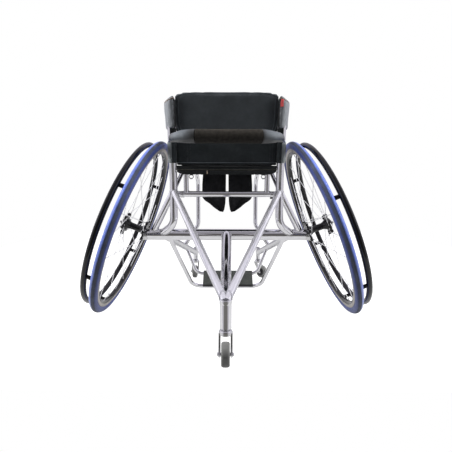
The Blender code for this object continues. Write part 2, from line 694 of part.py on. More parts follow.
def handrim(hand, axle):
    profile = []
    for side in range(HANDRIM_SIDES):
        angle = 2 * math.pi * (side + 0.5) / HANDRIM_SIDES
        profile.append((HANDRIM_RADIUS + HANDRIM_TUBE_RADIUS * math.cos(angle),
                        HANDRIM_OFFSET + HANDRIM_TUBE_RADIUS * math.sin(angle)))
    ring = place(f"handrim_{hand}", turned_mesh("handrim", profile, WHEEL_SEGMENTS), "black_gloss", axle)
    wall_middle = RIM_SEAT_RADIUS - RIM_WALL_DEPTH / 2
    low = (wall_middle - TAB_THICKNESS / 2, -TAB_WIDTH / 2, RIM_HALF_WIDTH + SEAT_GAP)
    high = (wall_middle + TAB_THICKNESS / 2, TAB_WIDTH / 2, HANDRIM_OFFSET)
    for index in range(TAB_COUNT):
        turn = math.radians(360 * index / TAB_COUNT + TAB_TURN[hand])
        tab = place(f"handrim_tab_{hand}_{index}", box_mesh("tab", low, high), None, axle,
                    rotation=(0, 0, turn))
        boolean(ring, as_tool(tab), "UNION")


def hub_profile():
    """The hub's section from its inner end out along the shell and back along the bore."""
    half = FLANGE_THICKNESS / 2
    bore = AXLE_RADIUS + RUNNING_GAP * 2
    seat = BEARING_RADIUS + SEAT_GAP
    return [(FLANGE_RADIUS, -FLANGE_INNER - half), (FLANGE_RADIUS, -FLANGE_INNER + half),
            (HUB_END_RADIUS, -FLANGE_INNER + half), (HUB_WAIST_RADIUS, -HUB_WAIST_INNER_END),
            (HUB_WAIST_RADIUS, HUB_WAIST_OUTER_END), (HUB_END_RADIUS, FLANGE_OUTER - half),
            (FLANGE_RADIUS, FLANGE_OUTER - half), (FLANGE_RADIUS, FLANGE_OUTER + half),
            (HUB_END_RADIUS, FLANGE_OUTER + half), (HUB_END_RADIUS, HUB_OUTER_END),
            (seat, HUB_OUTER_END), (seat, HUB_OUTER_END - BEARING_WIDTH - SEAT_GAP),
            (bore, HUB_OUTER_END - BEARING_WIDTH - SEAT_GAP),
            (bore, -HUB_INNER_END + BEARING_WIDTH + SEAT_GAP),
            (seat, -HUB_INNER_END + BEARING_WIDTH + SEAT_GAP), (seat, -HUB_INNER_END)]


def first_hole(face):
    """The angle of a flange's first spoke hole. The two flanges are half a pitch apart."""
    return 0.0 if face > 0 else math.pi / SPOKES_PER_FLANGE


def flange_ripple(profile):
    """The flanges' lobes. Each lobe holds two spokes, half a pitch to each side of its tip."""
    middle = (FLANGE_RADIUS + FLANGE_VALLEY) / 2
    swing = (FLANGE_RADIUS - FLANGE_VALLEY) / 2

    def reach(index, angle):
        radius, height = profile[index]
        if radius < FLANGE_RADIUS:
            return None
        tip = first_hole(height) + math.pi / SPOKES_PER_FLANGE
        return middle + swing * math.cos(FLANGE_LOBES * (angle - tip))

    return reach


def spoke_ends():
    """Where each spoke starts in its flange and ends at the rim bed."""
    ends = []
    pitch = 2 * math.pi / SPOKES_PER_FLANGE
    rim_reach = RIM_INNER_RADIUS - SEAT_GAP
    for flange, face in ((FLANGE_OUTER, 1), (-FLANGE_INNER, -1)):
        for index in range(SPOKES_PER_FLANGE):
            leading = index % 2 == 0
            lean = SPOKE_STAGGER if leading else -SPOKE_STAGGER
            start = first_hole(face) + pitch * index
            finish = start + math.radians(SPOKE_LEAD if leading else -SPOKE_LEAD)
            ends.append((Vector((SPOKE_HOLE_RADIUS * math.cos(start), SPOKE_HOLE_RADIUS * math.sin(start),
                                 flange + face * lean)),
                         Vector((rim_reach * math.cos(finish), rim_reach * math.sin(finish),
                                 face * (SPOKE_STAGGER * 0.5 + lean)))))
    return ends


def spokes_mesh():
    sides = 4
    verts, faces = [], []
    for start, finish in spoke_ends():
        heading = (finish - start).normalized()
        across = heading.orthogonal().normalized()
        other = heading.cross(across)
        first = len(verts)
        for point in (start, finish):
            for side in range(sides):
                angle = 2 * math.pi * side / sides
                verts.append(point + (across * math.cos(angle) + other * math.sin(angle)) * SPOKE_RADIUS)
        faces += [tuple(first + index for index in face) for face in grid_faces(2, sides, caps=True)]
    return mesh_from("spokes", verts, faces)


def hub_with_spokes(hand, axle):
    profile = hub_profile()
    mesh = turned_mesh("hub", profile, HUB_SEGMENTS, flange_ripple(profile))
    hub = place(f"hub_and_spokes_{hand}", mesh, "black_anodised", axle)
    spokes = as_tool(place(f"spoke_set_{hand}", spokes_mesh(), None, axle))
    boolean(hub, spokes, "UNION")


def bearing(hand, axle, which, low):
    inner = AXLE_RADIUS + RUNNING_GAP
    high = low + BEARING_WIDTH
    profile = [(inner, low), (BEARING_RADIUS, low), (BEARING_RADIUS, high), (inner, high)]
    place(f"wheel_bearing_{which}_{hand}", turned_mesh("bearing", profile, BEARING_SEGMENTS), "steel", axle)


def wheel(hand, side):
    axle = empty(f"wheel_axis_{hand}", at(side * WHEEL_HALF_TRACK, 0, HUB_HEIGHT),
                 (0, side * (math.pi / 2 - CAMBER_RAD), 0))
    place(f"tyre_{hand}", turned_mesh("tyre", tyre_profile(), WHEEL_SEGMENTS), "blue_rubber", axle)
    place(f"rim_{hand}", turned_mesh("rim", rim_profile(), WHEEL_SEGMENTS), "black_gloss", axle)
    handrim(hand, axle)
    hub_with_spokes(hand, axle)
    bearing(hand, axle, "outer", HUB_OUTER_END - BEARING_WIDTH)
    bearing(hand, axle, "inner", -HUB_INNER_END)
    axle_pin(hand, axle)
    axle_receiver(hand, side, axle)


def axle_pin(hand, axle):
    """The quick-release axle with its head, and the push button in its end."""
    head_foot = HUB_OUTER_END + RUNNING_GAP
    head_top = head_foot + AXLE_HEAD_THICKNESS
    button_foot = head_top + BUTTON_PROUD - BUTTON_LENGTH
    profile = [(AXLE_RADIUS - CUT_DEPTH / 2, -AXLE_TIP), (AXLE_RADIUS, -AXLE_TIP + CUT_DEPTH),
               (AXLE_RADIUS, head_foot), (AXLE_HEAD_RADIUS, head_foot), (AXLE_HEAD_RADIUS, head_top)]
    pin = place(f"axle_pin_{hand}", disc_mesh("axle_pin", profile, HUB_SEGMENTS), "steel", axle)
    well = [(BUTTON_RADIUS + RUNNING_GAP, button_foot - BUTTON_TRAVEL - RUNNING_GAP),
            (BUTTON_RADIUS + RUNNING_GAP, head_top + CUT_DEPTH)]
    cutter = place(f"button_well_{hand}", disc_mesh("well", well, HUB_SEGMENTS), None, axle)
    cut_by(pin, as_tool(cutter))
    button = [(BUTTON_RADIUS, 0.0), (BUTTON_RADIUS, BUTTON_LENGTH - CUT_DEPTH / 2),
              (BUTTON_RADIUS - CUT_DEPTH / 2, BUTTON_LENGTH)]
    place(f"release_button_{hand}", disc_mesh("button", button, HUB_SEGMENTS), "aluminium", axle,
          location=(0, 0, button_foot))


def axle_receiver(hand, side, axle):
    """The camber plug: it fills the camber tube's end and holds the axle at its tilt."""
    plug_radius = CAMBER_TUBE_RADIUS - CAMBER_TUBE_WALL - SEAT_GAP
    step = CAMBER_TUBE_HALF + SEAT_GAP
    reach = WHEEL_HALF_TRACK
    profile = [(plug_radius, step - RECEIVER_DEPTH), (plug_radius, step),
               (CAMBER_TUBE_RADIUS, step), (CAMBER_TUBE_RADIUS, reach)]
    plug = place(f"axle_receiver_{hand}", disc_mesh("receiver", profile, HUB_SEGMENTS), "aluminium",
                 location=at(0, 0, CAMBER_TUBE_HEIGHT), rotation=(0, side * math.pi / 2, 0))
    face = -HUB_INNER_END - RUNNING_GAP
    far = WHEEL_HALF_TRACK / 2
    trim = box_mesh("trim", (-far, -far, face), (far, far, face + far))
    bore = [(AXLE_RADIUS + SEAT_GAP, -AXLE_TIP - SEAT_GAP), (AXLE_RADIUS + SEAT_GAP, 0.0)]
    cut_by(plug, as_tool(place(f"receiver_trim_{hand}", trim, None, axle)),
           as_tool(place(f"receiver_bore_{hand}", disc_mesh("bore", bore, HUB_SEGMENTS), None, axle)))


# Casters

def housing_mesh(name, outer, bottom, top):
    """An upright sleeve for a caster's stem, turned about its own axis."""
    inner = STEM_RADIUS + HOUSING_BORE_GAP
    profile = [(inner, bottom), (outer - CUT_DEPTH / 2, bottom), (outer, bottom + CUT_DEPTH / 2),
               (outer, top - CUT_DEPTH / 2), (outer - CUT_DEPTH / 2, top), (inner, top)]
    return turned_mesh(name, profile, HOUSING_SIDES)


def housing_space(name, spot, outer, bottom, top):
    radius = outer + SEAT_GAP
    mesh = disc_mesh(name, [(radius, bottom - CUT_DEPTH), (radius, top + outer * 2)], HOUSING_SIDES)
    return as_tool(place(name, mesh, None, location=spot))


def housing(spaces, key, name, spot, outer, top):
    place(name, housing_mesh(name, outer, HOUSING_BOTTOM, top), "chrome", location=spot)
    spaces[key] = housing_space(f"{name}_space", spot, outer, HOUSING_BOTTOM, top)


def housings(spaces):
    for hand, side in SIDES.items():
        housing(spaces, ("housing", hand), f"caster_housing_{hand}",
                at(side * FRONT_STEM_SPREAD, FRONT_STEM_REACH, 0), FRONT_HOUSING_RADIUS, FRONT_HOUSING_TOP)
    housing(spaces, "rear_housing", "anti_tip_barrel", at(0, -REAR_STEM_REACH, 0),
            REAR_HOUSING_RADIUS, REAR_HOUSING_TOP)


def half_spaces(spaces):
    """Blocks that keep each anti-tip strut on its own side of the middle."""
    for hand, side in SIDES.items():
        far = POST_HALF_SPREAD / 2
        edges = sorted((side * SEAT_GAP / 2, -side * far))
        low = at(edges[0], -REAR_STEM_REACH - far, STRUT_FOOT_HEIGHT - far)
        high = at(edges[1], -REAR_STEM_REACH + far * 2, STRUT_FOOT_HEIGHT + far)
        spaces["half", hand] = as_tool(place(f"half_space_{hand}", box_mesh("half", low, high), None))


def fork_leg_mesh(inner_face, thickness):
    """One blade of the fork, an outline in the wheel's plane given a thickness."""
    half = FORK_LEG_WIDTH / 2
    crown = FORK_CROWN_TOP - FORK_CROWN_THICKNESS / 2
    axle_y, axle_z = -CASTER_TRAIL, CASTER_RADIUS
    outline = [(half, crown), (-half, crown)]
    for index in range(7):
        angle = math.radians(180 + 30 * index)
        outline.append((axle_y + FORK_LEG_END_RADIUS * math.cos(angle),
                        axle_z + FORK_LEG_END_RADIUS * math.sin(angle)))
    verts = [(x, y, z) for x in (inner_face, inner_face + thickness) for y, z in outline]
    return mesh_from("fork_leg", verts, grid_faces(2, len(outline), caps=True))


def caster(name, spot, turn, housing_top):
    """A swivelling fork with its stem, and the wheel that rolls in it."""
    stem = empty(f"{name}_stem_axis", spot, (0, 0, math.radians(turn)))
    inner = CASTER_HALF_WIDTH + FORK_LEG_GAP
    outer = FORK_HALF_WIDTH
    crown_foot = FORK_CROWN_TOP - FORK_CROWN_THICKNESS
    stem_foot = FORK_CROWN_TOP - FORK_CROWN_THICKNESS / 2
    crown = [(outer, crown_foot), (outer, FORK_CROWN_TOP - CUT_DEPTH),
             (outer - CUT_DEPTH, FORK_CROWN_TOP)]
    fork = place(f"{name}_fork", disc_mesh("crown", crown, HOUSING_SIDES), "aluminium", stem)
    cap_foot = housing_top + RUNNING_GAP
    shaft = [(STEM_RADIUS, stem_foot), (STEM_RADIUS, cap_foot), (STEM_CAP_RADIUS, cap_foot),
             (STEM_CAP_RADIUS, cap_foot + STEM_CAP_HEIGHT)]
    pieces = [place(f"{name}_stem", disc_mesh("stem", shaft, THIN_TUBE_SIDES + 2), None, stem)]
    for label, face in (("near", -outer), ("far", inner)):
        pieces.append(place(f"{name}_leg_{label}", fork_leg_mesh(face, FORK_LEG_THICKNESS), None, stem))
    bolt_half = outer + CUT_DEPTH / 2
    bolt = disc_mesh("bolt", [(CASTER_AXLE_RADIUS, -bolt_half), (CASTER_AXLE_RADIUS, bolt_half)],
                     THIN_TUBE_SIDES + 2)
    pieces.append(place(f"{name}_bolt", bolt, None, stem, location=(0, -CASTER_TRAIL, CASTER_RADIUS),
                        rotation=(0, math.pi / 2, 0)))
    for extra in pieces:
        boolean(fork, as_tool(extra), "UNION")
    axle = empty(f"{name}_wheel_axis", (0, -CASTER_TRAIL, CASTER_RADIUS), (0, math.pi / 2, 0), stem)
    place(f"{name}_wheel", turned_mesh("caster_wheel", caster_wheel_profile(), CASTER_SEGMENTS),
          "black_urethane", axle)


def caster_wheel_profile():
    """A round-edged tyre on a slimmer core with a raised boss."""
    bore = CASTER_AXLE_RADIUS + RUNNING_GAP
    half = CASTER_HALF_WIDTH
    right = [(bore, half), (CASTER_BOSS_RADIUS, half), (CASTER_BOSS_RADIUS, CASTER_CORE_HALF_WIDTH),
             (CASTER_CORE_RADIUS, CASTER_CORE_HALF_WIDTH), (CASTER_CORE_RADIUS, half - CUT_DEPTH / 2),
             (CASTER_SHOULDER_RADIUS, CASTER_SHOULDER_HALF_WIDTH), (CASTER_RADIUS, CASTER_TREAD_HALF_WIDTH)]
    left = [(radius, -height) for radius, height in reversed(right)]
    return right + left


def casters():
    for hand, side in SIDES.items():
        spot = at(side * FRONT_STEM_SPREAD, FRONT_STEM_REACH, 0)
        caster(f"caster_{hand}", spot, FRONT_CASTER_TURN[hand], FRONT_HOUSING_TOP)
    caster("caster_rear", at(0, -REAR_STEM_REACH, 0), 0.0, REAR_HOUSING_TOP)


# Upholstery

def panel_mesh(name, columns, rows, front, back):
    """A closed sheet. front and back give a point for shares across (-1 to 1) and up (0 to 1)."""
    verts = []
    for surface in (front, back):
        for row in range(rows + 1):
            for column in range(columns + 1):
                verts.append(surface(2 * column / columns - 1, row / rows))
    wide = columns + 1
    layer = wide * (rows + 1)
    faces = []
    for row in range(rows):
        for column in range(columns):
            corner = row * wide + column
            quad = (corner, corner + 1, corner + wide + 1, corner + wide)
            faces.append(quad)
            faces.append(tuple(layer + index for index in reversed(quad)))
    rim = [column for column in range(wide)]
    rim += [row * wide + columns for row in range(1, rows + 1)]
    rim += [rows * wide + column for column in range(columns - 1, -1, -1)]
    rim += [row * wide for row in range(rows - 1, 0, -1)]
    for here, there in zip(rim, rim[1:] + rim[:1]):
        faces.append((here, layer + here, layer + there, there))
    return mesh_from(name, verts, faces)


def puff(across, up, share):
    """How full a pad is at a place: 1 in the middle, less at its edges."""
    edge = (1 - abs(across) ** PAD_EDGE_POWER) * (1 - abs(2 * up - 1) ** PAD_EDGE_POWER)
    return share + (1 - share) * max(0.0, edge)


def back_panel():
    """The upper back: its top rises to a flat middle and its lower corners are cut off."""
    def outline(across, up):
        shoulder = BACK_PANEL_SHOULDER + (BACK_PANEL_TOP - BACK_PANEL_SHOULDER) * (1 - abs(across) ** 4)
        height = BACK_PANEL_BOTTOM + (shoulder - BACK_PANEL_BOTTOM) * up
        corner = max(0.0, 1 - (height - BACK_PANEL_BOTTOM) / BACK_PANEL_CORNER_HEIGHT)
        half = BACK_PANEL_HALF_WIDTH - BACK_PANEL_CORNER_WIDTH * corner
        return across * half, height

    def surface(depth):
        def spot(across, up):
            x, height = outline(across, up)
            bulge = BACK_PANEL_BULGE * (1 - (x / BACK_PANEL_HALF_WIDTH) ** 2)
            half = BACK_PANEL_THICKNESS / 2 * puff(across, up, BACK_PANEL_EDGE_SHARE)
            return at(x, on_post(height) - bulge + depth * half, height)
        return spot

    place("back_panel", panel_mesh("back_panel", 14, 6, surface(-1), surface(1)), "black_fabric")


def back_wing(hand, side, spaces):
    """A padded sleeve round the top of an upright, reaching forward beside the user."""
    inner = BACK_PANEL_HALF_WIDTH + SEAT_GAP
    middle = (inner + WING_OUTER) / 2
    half = (WING_OUTER - inner) / 2
    length = WING_FORWARD + WING_BACKWARD
    rows, around = 6, 16
    verts = []
    for row in range(rows + 1):
        up = row / rows
        level = WING_BOTTOM + (WING_TOP - WING_BOTTOM) * up
        full = 1 - (1 - WING_END_SHARE) * abs(2 * up - 1) ** 4
        for step in range(around):
            angle = 2 * math.pi * step / around
            cosine, sine = math.cos(angle), math.sin(angle)
            x = math.copysign(abs(cosine) ** WING_SIDE_ROUNDING, cosine) * half * full
            y = math.copysign(abs(sine) ** WING_END_ROUNDING, sine) * length / 2 * full
            height = level - WING_TOP_SLOPE * up * (cosine + 1) / 2
            centre = on_post(height) + (WING_FORWARD - WING_BACKWARD) / 2
            drawn_in = WING_TAPER * (1 - up) * (cosine + 1) / 2
            verts.append(at(side * (middle + x - drawn_in), centre + y, height))
    mesh = mesh_from("wing", verts, grid_faces(rows + 1, around, caps=True))
    wing = place(f"back_wing_{hand}", mesh, "black_vinyl")
    cut_by(wing, spaces["post", hand])


def lower_back_panel(spaces):
    """The lower back, stretched between fabric sleeves round the uprights."""
    def surface(depth):
        def spot(across, up):
            drop = LOWER_PANEL_EDGE_DROP * across ** 4
            bottom, top = LOWER_PANEL_BOTTOM + drop, LOWER_PANEL_TOP - drop
            height = bottom + (top - bottom) * up
            x = across * (POST_HALF_SPREAD - POST_RADIUS * 0.4)
            bulge = LOWER_PANEL_BULGE * (1 - across ** 2)
            half = LOWER_PANEL_THICKNESS / 2 * puff(across, up, LOWER_PANEL_EDGE_SHARE)
            return at(x, on_post(height) - bulge + depth * half, height)
        return spot

    mesh = panel_mesh("lower_back_panel", 12, 5, surface(-1), surface(1))
    panel = place("lower_back_panel", mesh, "black_fabric")
    for hand, side in SIDES.items():
        ends = [at(side * POST_HALF_SPREAD, on_post(height), height)
                for height in (SLEEVE_BOTTOM, SLEEVE_TOP)]
        boolean(panel, as_tool(tube(f"post_sleeve_{hand}", ends, SLEEVE_RADIUS, None)), "UNION")
    for hand in SIDES:
        cut_by(panel, spaces["post", hand])


def rear_bar(spaces):
    """The U-shaped rear bar between the uprights and the padding round it."""
    path = bar_path()
    bar = tube("back_bar", path, BAR_TUBE_RADIUS, sides=THIN_TUBE_SIDES)
    space = tube_clearance("back_bar_space", path, BAR_TUBE_RADIUS, THIN_TUBE_SIDES)
    cut_by(bar, spaces["post", "left"], spaces["post", "right"])
    padded = [point.copy() for point in path]
    setback = Vector((0, POST_RADIUS + BAR_PAD_SETBACK, 0))
    padded[0] -= setback
    padded[-1] -= setback
    front = padded[0].y
    back = at(0, -BAR_BACK, 0).y
    radii = []
    for point in padded:
        share = min(1.0, BAR_PAD_SWELL * (front - point.y) / (front - back))
        radii.append(BAR_PAD_END_RADIUS + (BAR_PAD_MIDDLE_RADIUS - BAR_PAD_END_RADIUS) * share)
    pad = place("back_bar_pad", sweep_mesh("back_bar_pad", padded, radii, TUBE_SIDES), "foam")
    cut_by(pad, space)


def rail_line(reach):
    """Half width and height of the seat rails' middle lines at a distance from the axle."""
    start, front = rail_start(1), rail_front(1)
    share = (reach - (start.y - AXLE_Y)) / (front.y - start.y)
    spot = start.lerp(front, share)
    return spot.x, spot.z


def seat_depths():
    """Where the seat cloth starts behind the rear seat tube and ends on the rails."""
    rear = on_post(SEAT_TUBE_HEIGHT) - SEAT_TUBE_RADIUS - SEAT_GAP - SLING_THICKNESS
    return rear, RAIL_FRONT_REACH - SLING_FRONT_MARGIN


def sling_sag(x, reach):
    """How far the cloth hangs below the rails' tops at a place on the seat."""
    spread = rail_line(reach)[0]
    start = on_post(SEAT_TUBE_HEIGHT) + SEAT_TUBE_RADIUS
    ramp = min(1.0, max(0.0, (reach - start) / SLING_SAG_REACH))
    return SLING_SAG * ramp * max(0.0, 1 - (x / spread) ** 2)


def sling_height(x, reach, level):
    return rail_line(reach)[1] + SLING_BEND_RADIUS + level - sling_sag(x, reach)


def seat_sling():
    """The cloth seat over the rails, with an apron that hangs down over the rear seat tube."""
    rear, front = seat_depths()
    notch = on_post(SEAT_TUBE_HEIGHT) + POST_RADIUS + SEAT_GAP * 4
    columns = round(SLING_WRAP_STEPS * 2 / (1 - SLING_FLAT_SHARE))
    hung = on_post(SEAT_TUBE_HEIGHT) + SEAT_TUBE_RADIUS + SLING_SAG_REACH
    flat_rows = 2
    reaches = [rear] + [notch + SLING_THICKNESS * step for step in range(SLING_WRAP_STEPS + 1)]
    reaches += [hung + (front - hung) * step / 4 for step in range(5)]

    def surface(level):
        def spot(across, up):
            row = round(up * len(reaches))
            if row == 0:
                return at(across * SLING_REAR_HALF, rear + SLING_THICKNESS - level,
                          SEAT_TUBE_HEIGHT - SLING_APRON_DROP)
            reach = reaches[row - 1]
            spread, middle = rail_line(reach)
            if row == 1:
                reach = rear + SLING_THICKNESS - level
            if row <= flat_rows:
                x = across * SLING_REAR_HALF
                return at(x, reach, sling_height(x, notch, level))
            if abs(across) <= SLING_FLAT_SHARE:
                x = across / SLING_FLAT_SHARE * spread
                return at(x, reach, sling_height(x, reach, level))
            share = (abs(across) - SLING_FLAT_SHARE) / (1 - SLING_FLAT_SHARE)
            share *= min(1.0, (row - flat_rows) / SLING_WRAP_STEPS)
            turn = math.radians(SLING_WRAP_ANGLE * share)
            radius = SLING_BEND_RADIUS + level
            return at(math.copysign(spread + radius * math.sin(turn), across), reach,
                      middle + radius * math.cos(turn))
        return spot

    mesh = panel_mesh("seat_sling", columns, len(reaches), surface(SLING_THICKNESS), surface(0.0))
    place("seat_sling", mesh, "black_fabric")


def seat_cushion():
    """The seat cushion: crowned and channelled, with sides that draw in."""
    rear = on_post(SEAT_TUBE_HEIGHT) + POST_RADIUS + CUSHION_MARGIN
    front = seat_depths()[1] + CUSHION_MARGIN
    columns, rows = 18, 8

    def footprint(across, up, draw):
        reach = rear + (front - rear) * up
        half = rail_line(reach)[0] - CUSHION_MARGIN / 2 - draw
        corner = max(0.0, abs(2 * up - 1) - 1 + CUSHION_CORNER_SHARE) / CUSHION_CORNER_SHARE
        half -= CUSHION_MARGIN * corner ** 2
        squeezed = rear + draw + (front - rear - 2 * draw) * up
        return across * half, squeezed

    def lower(across, up):
        x, reach = footprint(across, up, CUSHION_FOOT_DRAW)
        return at(x, reach, sling_height(x, reach, SLING_THICKNESS) + CUSHION_GAP)

    def upper(across, up):
        x, reach = footprint(across, up, 0.0)
        edge = (1 - abs(across) ** 8) * (1 - abs(2 * up - 1) ** 8)
        crown = CUSHION_CROWN * (1 - across ** 2) * (1 - (2 * up - 1) ** 2)
        sewn = any(abs(across - channel) < CUSHION_CHANNEL_SHARE for channel in CUSHION_CHANNELS)
        dip = CUSHION_CHANNEL_DEPTH * edge * sewn
        thick = CUSHION_THICKNESS * (CUSHION_EDGE_SHARE + (1 - CUSHION_EDGE_SHARE) * edge)
        return at(x, reach, sling_height(x, reach, SLING_THICKNESS) + thick + crown - dip)

    place("seat_cushion", panel_mesh("seat_cushion", columns, rows, upper, lower), "black_fabric")


def edge_at(outline, height):
    """Where a flap's edge lies at a height, read along its outline from the tip up."""
    for (low_x, low), (high_x, high) in zip(outline, outline[1:]):
        if height <= high:
            return low_x + (high_x - low_x) * (height - low) / (high - low)
    return outline[-1][0]


def seat_flap(hand, side):
    """The long tail of a seat strap: it hangs in soft folds to a rounded, slanted tip."""
    def surface(depth):
        def spot(across, up):
            share = (across + 1) / 2
            top_x = FLAP_INNER_EDGE[-1][0] + (FLAP_OUTER_EDGE[-1][0] - FLAP_INNER_EDGE[-1][0]) * share
            top = sling_height(top_x, FLAP_REACH, 0.0) - FLAP_TOP_GAP
            tip = FLAP_OUTER_EDGE[0][1]
            height = tip + (top - tip) * up ** 1.6
            inner, outer = edge_at(FLAP_INNER_EDGE, height), edge_at(FLAP_OUTER_EDGE, height)
            fold = FLAP_FOLD * (1 - up) * math.sin(across * 4.0 + 1.0)
            return at(side * (inner + (outer - inner) * share),
                      FLAP_REACH + fold + depth * FLAP_THICKNESS / 2, height)
        return spot

    mesh = panel_mesh("seat_flap", 5, 9, surface(-1), surface(1))
    place(f"seat_flap_{hand}", mesh, "black_fabric")


def upholstery(spaces):
    back_panel()
    for hand, side in SIDES.items():
        back_wing(hand, side, spaces)
    lower_back_panel(spaces)
    rear_bar(spaces)
    seat_sling()
    seat_cushion()
    for hand, side in SIDES.items():
        seat_flap(hand, side)


def main():
    clear_scene()
    spaces = {}
    housings(spaces)
    half_spaces(spaces)
    frame_tubes(spaces)
    for hand, side in SIDES.items():
        wheel(hand, side)
    casters()
    upholstery(spaces)


main()
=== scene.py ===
"""Looks of the tennis wheelchair: finishes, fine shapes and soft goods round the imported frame."""

from math import copysign, cos, degrees, exp, pi, radians, sin, sqrt, tan

import bmesh
import bpy
from mathutils import Matrix, Vector, noise
from mathutils.bvhtree import BVHTree


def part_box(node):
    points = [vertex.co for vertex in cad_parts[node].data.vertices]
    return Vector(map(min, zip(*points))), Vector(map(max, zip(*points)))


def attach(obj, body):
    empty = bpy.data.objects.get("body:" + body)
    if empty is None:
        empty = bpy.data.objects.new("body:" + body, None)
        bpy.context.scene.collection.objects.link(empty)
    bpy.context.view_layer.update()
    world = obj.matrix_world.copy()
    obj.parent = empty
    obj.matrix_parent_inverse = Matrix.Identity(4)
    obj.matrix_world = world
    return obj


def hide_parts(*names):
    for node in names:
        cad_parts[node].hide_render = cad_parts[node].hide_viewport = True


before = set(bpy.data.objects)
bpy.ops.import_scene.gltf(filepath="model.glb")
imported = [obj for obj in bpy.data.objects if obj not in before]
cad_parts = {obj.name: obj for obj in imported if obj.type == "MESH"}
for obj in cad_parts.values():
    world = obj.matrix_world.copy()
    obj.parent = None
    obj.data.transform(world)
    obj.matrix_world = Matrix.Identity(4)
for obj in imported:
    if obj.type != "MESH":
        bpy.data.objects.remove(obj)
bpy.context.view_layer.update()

# Side is -1 for the left half and +1 for the right half. Lengths are in metres.
SIDES = {"left": -1, "right": 1}
camber_low, camber_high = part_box("camber_tube")
AXLE_Y = (camber_low.y + camber_high.y) / 2
CAMBER_TUBE_HEIGHT = (camber_low.z + camber_high.z) / 2
CAMBER_TUBE_HALF = camber_high.x
CAMBER_TUBE_RADIUS = (camber_high.z - camber_low.z) / 2

# Camera, placed from the axle line
CAMERA_SPOT = (0.00482, -1.2796, 0.41316)
CAMERA_PITCH, CAMERA_YAW, CAMERA_ROLL = 0.09697, -0.00519, 0.00242
FOCAL_PIXELS = 375.586
IMAGE_PIXELS = 452
SENSOR_WIDTH = 36.0

# Rear wheels
CAMBER = radians(20.8)
TYRE_CIRCLE = 0.2919
TYRE_RADIUS = 0.0126
TREAD_ANGLE = 24
TREAD_SHIFT = -16
SIDE_LINE_ANGLE = 104
BEAD_ANGLE = 138
TYRE_GROOVE = 0.0006
HALF_TRACK = 0.3163
HUB_HEIGHT = TYRE_CIRCLE * cos(CAMBER) + TYRE_RADIUS
RIM_OUTER = TYRE_CIRCLE + TYRE_RADIUS * cos(radians(BEAD_ANGLE)) - 0.0003
RIM_HALF = 0.0095
TRACK_DEPTH = 0.01
RIM_INNER = RIM_OUTER - 0.019
VALVE_ANGLE = radians(97.5)
WHEEL_STEPS = 192
HANDRIM_RADIUS = 0.2788
HANDRIM_TUBE = 0.0088
HANDRIM_OFFSET = 0.0375
TAB_COUNT = 6
TAB_TURN = {"left": 0.0, "right": 7.5}
FLANGE_OUTER = 0.031
FLANGE_INNER = 0.04
FLANGE_THICK = 0.0062
FLANGE_RADIUS = 0.039
FLANGE_VALLEY = 0.027
FLANGE_LOBES = 6
SPOKES_PER_FLANGE = 12
SPOKE_PITCH = 2 * pi / SPOKES_PER_FLANGE
SPOKE_HOLE = 0.029
SPOKE_LEAD = radians(60)
SPOKE_STAGGER = 0.0015
SPOKE_RADIUS = 0.0011
BOSS_CIRCLE = 0.0318
HUB_OUTER_END = 0.041
HUB_INNER_END = 0.042
BEARING_WIDTH = 0.008

# Frame tubes
POST_RADIUS = 0.0127
POST_SPREAD = 0.175
POST_Y = -(CAMBER_TUBE_RADIUS + POST_RADIUS + 0.0003)
POST_ROOT = (0.229, 0, 0.257)
POST_BEND_HEIGHT = 0.296
POST_KNEE = 0.44
POST_TOP = 0.674
RECLINE = tan(radians(12))
STRUT_HEIGHT = 0.408
CROSS_HEIGHT = 0.398
CROSS_RADIUS = 0.0095
SEAT_TUBE_HEIGHT = 0.478
RAIL_RADIUS = 0.0082
RAIL_FRONT = (0.12, 0.3, 0.49)
RAIL_FOOT_HEIGHT = 0.265
GUSSET_RADIUS = 0.007
GUSSET_REACH = 0.08
BRACE_RADIUS = 0.0111
BRACE_ROOT = 0.255
ARM_RADIUS = 0.0127
ARM_ROOT = 0.22
ARM_END_HEIGHT = 0.115
# Where the rail, the foot bar and the stem's housing meet the arm, as shares of its length
ARM_SHARES = {"rail": 0.58, "foot_bar": 0.66, "housing": 0.985}
ANTI_TIP_RADII = [CAMBER_TUBE_RADIUS - 0.00125, 0.0125]
ANTI_TIP_HEIGHTS = {"tube": 0.14, "strut": 0.15}
STRUT_RADIUS = 0.0103
REAR_STEM = 0.41
FRONT_STEM = 0.485
FRONT_STEM_SPREAD = 0.148
SEAT_STRUT_SPREAD = 0.133
SEAT_STRUT_RADIUS = 0.008
BAR_HEIGHT = 0.5715
BAR_RADIUS = 0.0095
BAR_BENDS = (0.15, -0.19, 0.564)
LOOP_BENDS = (0.1345, 0.19, 0.03)
LOOP_RADIUS = 0.0075
LOOP_ROOT = 0.201
FOOT_BAR_BENDS = (0.129, 0.315, 0.052)
FOOT_BAR_RADIUS = 0.007
BEND_RADII = {"bar": 0.085, "loop": 0.044, "foot_bar": 0.04, "post": 0.048, "rail": 0.07, "leg": 0.04}
TUBE_SIDES = 32
BEND_STEP = 6.0
WELD_STEPS = 36

# Casters
CASTER_TURN = {"left": -3.0, "right": 42.0, "rear": 0.0}
CASTER_RADIUS = 0.029
CASTER_HALF = 0.0105
CASTER_TRAIL = 0.024
FORK_GAP = 0.0018
LEG_THICK = 0.004
CROWN_TOP = 0.0805
CROWN_FOOT = 0.0675
FORK_HALF = CASTER_HALF + FORK_GAP + LEG_THICK
HOUSING_RADIUS = {"left": 0.0125, "right": 0.0125, "rear": 0.015}
HOUSING_TOP = {"left": 0.136, "right": 0.136, "rear": 0.154}

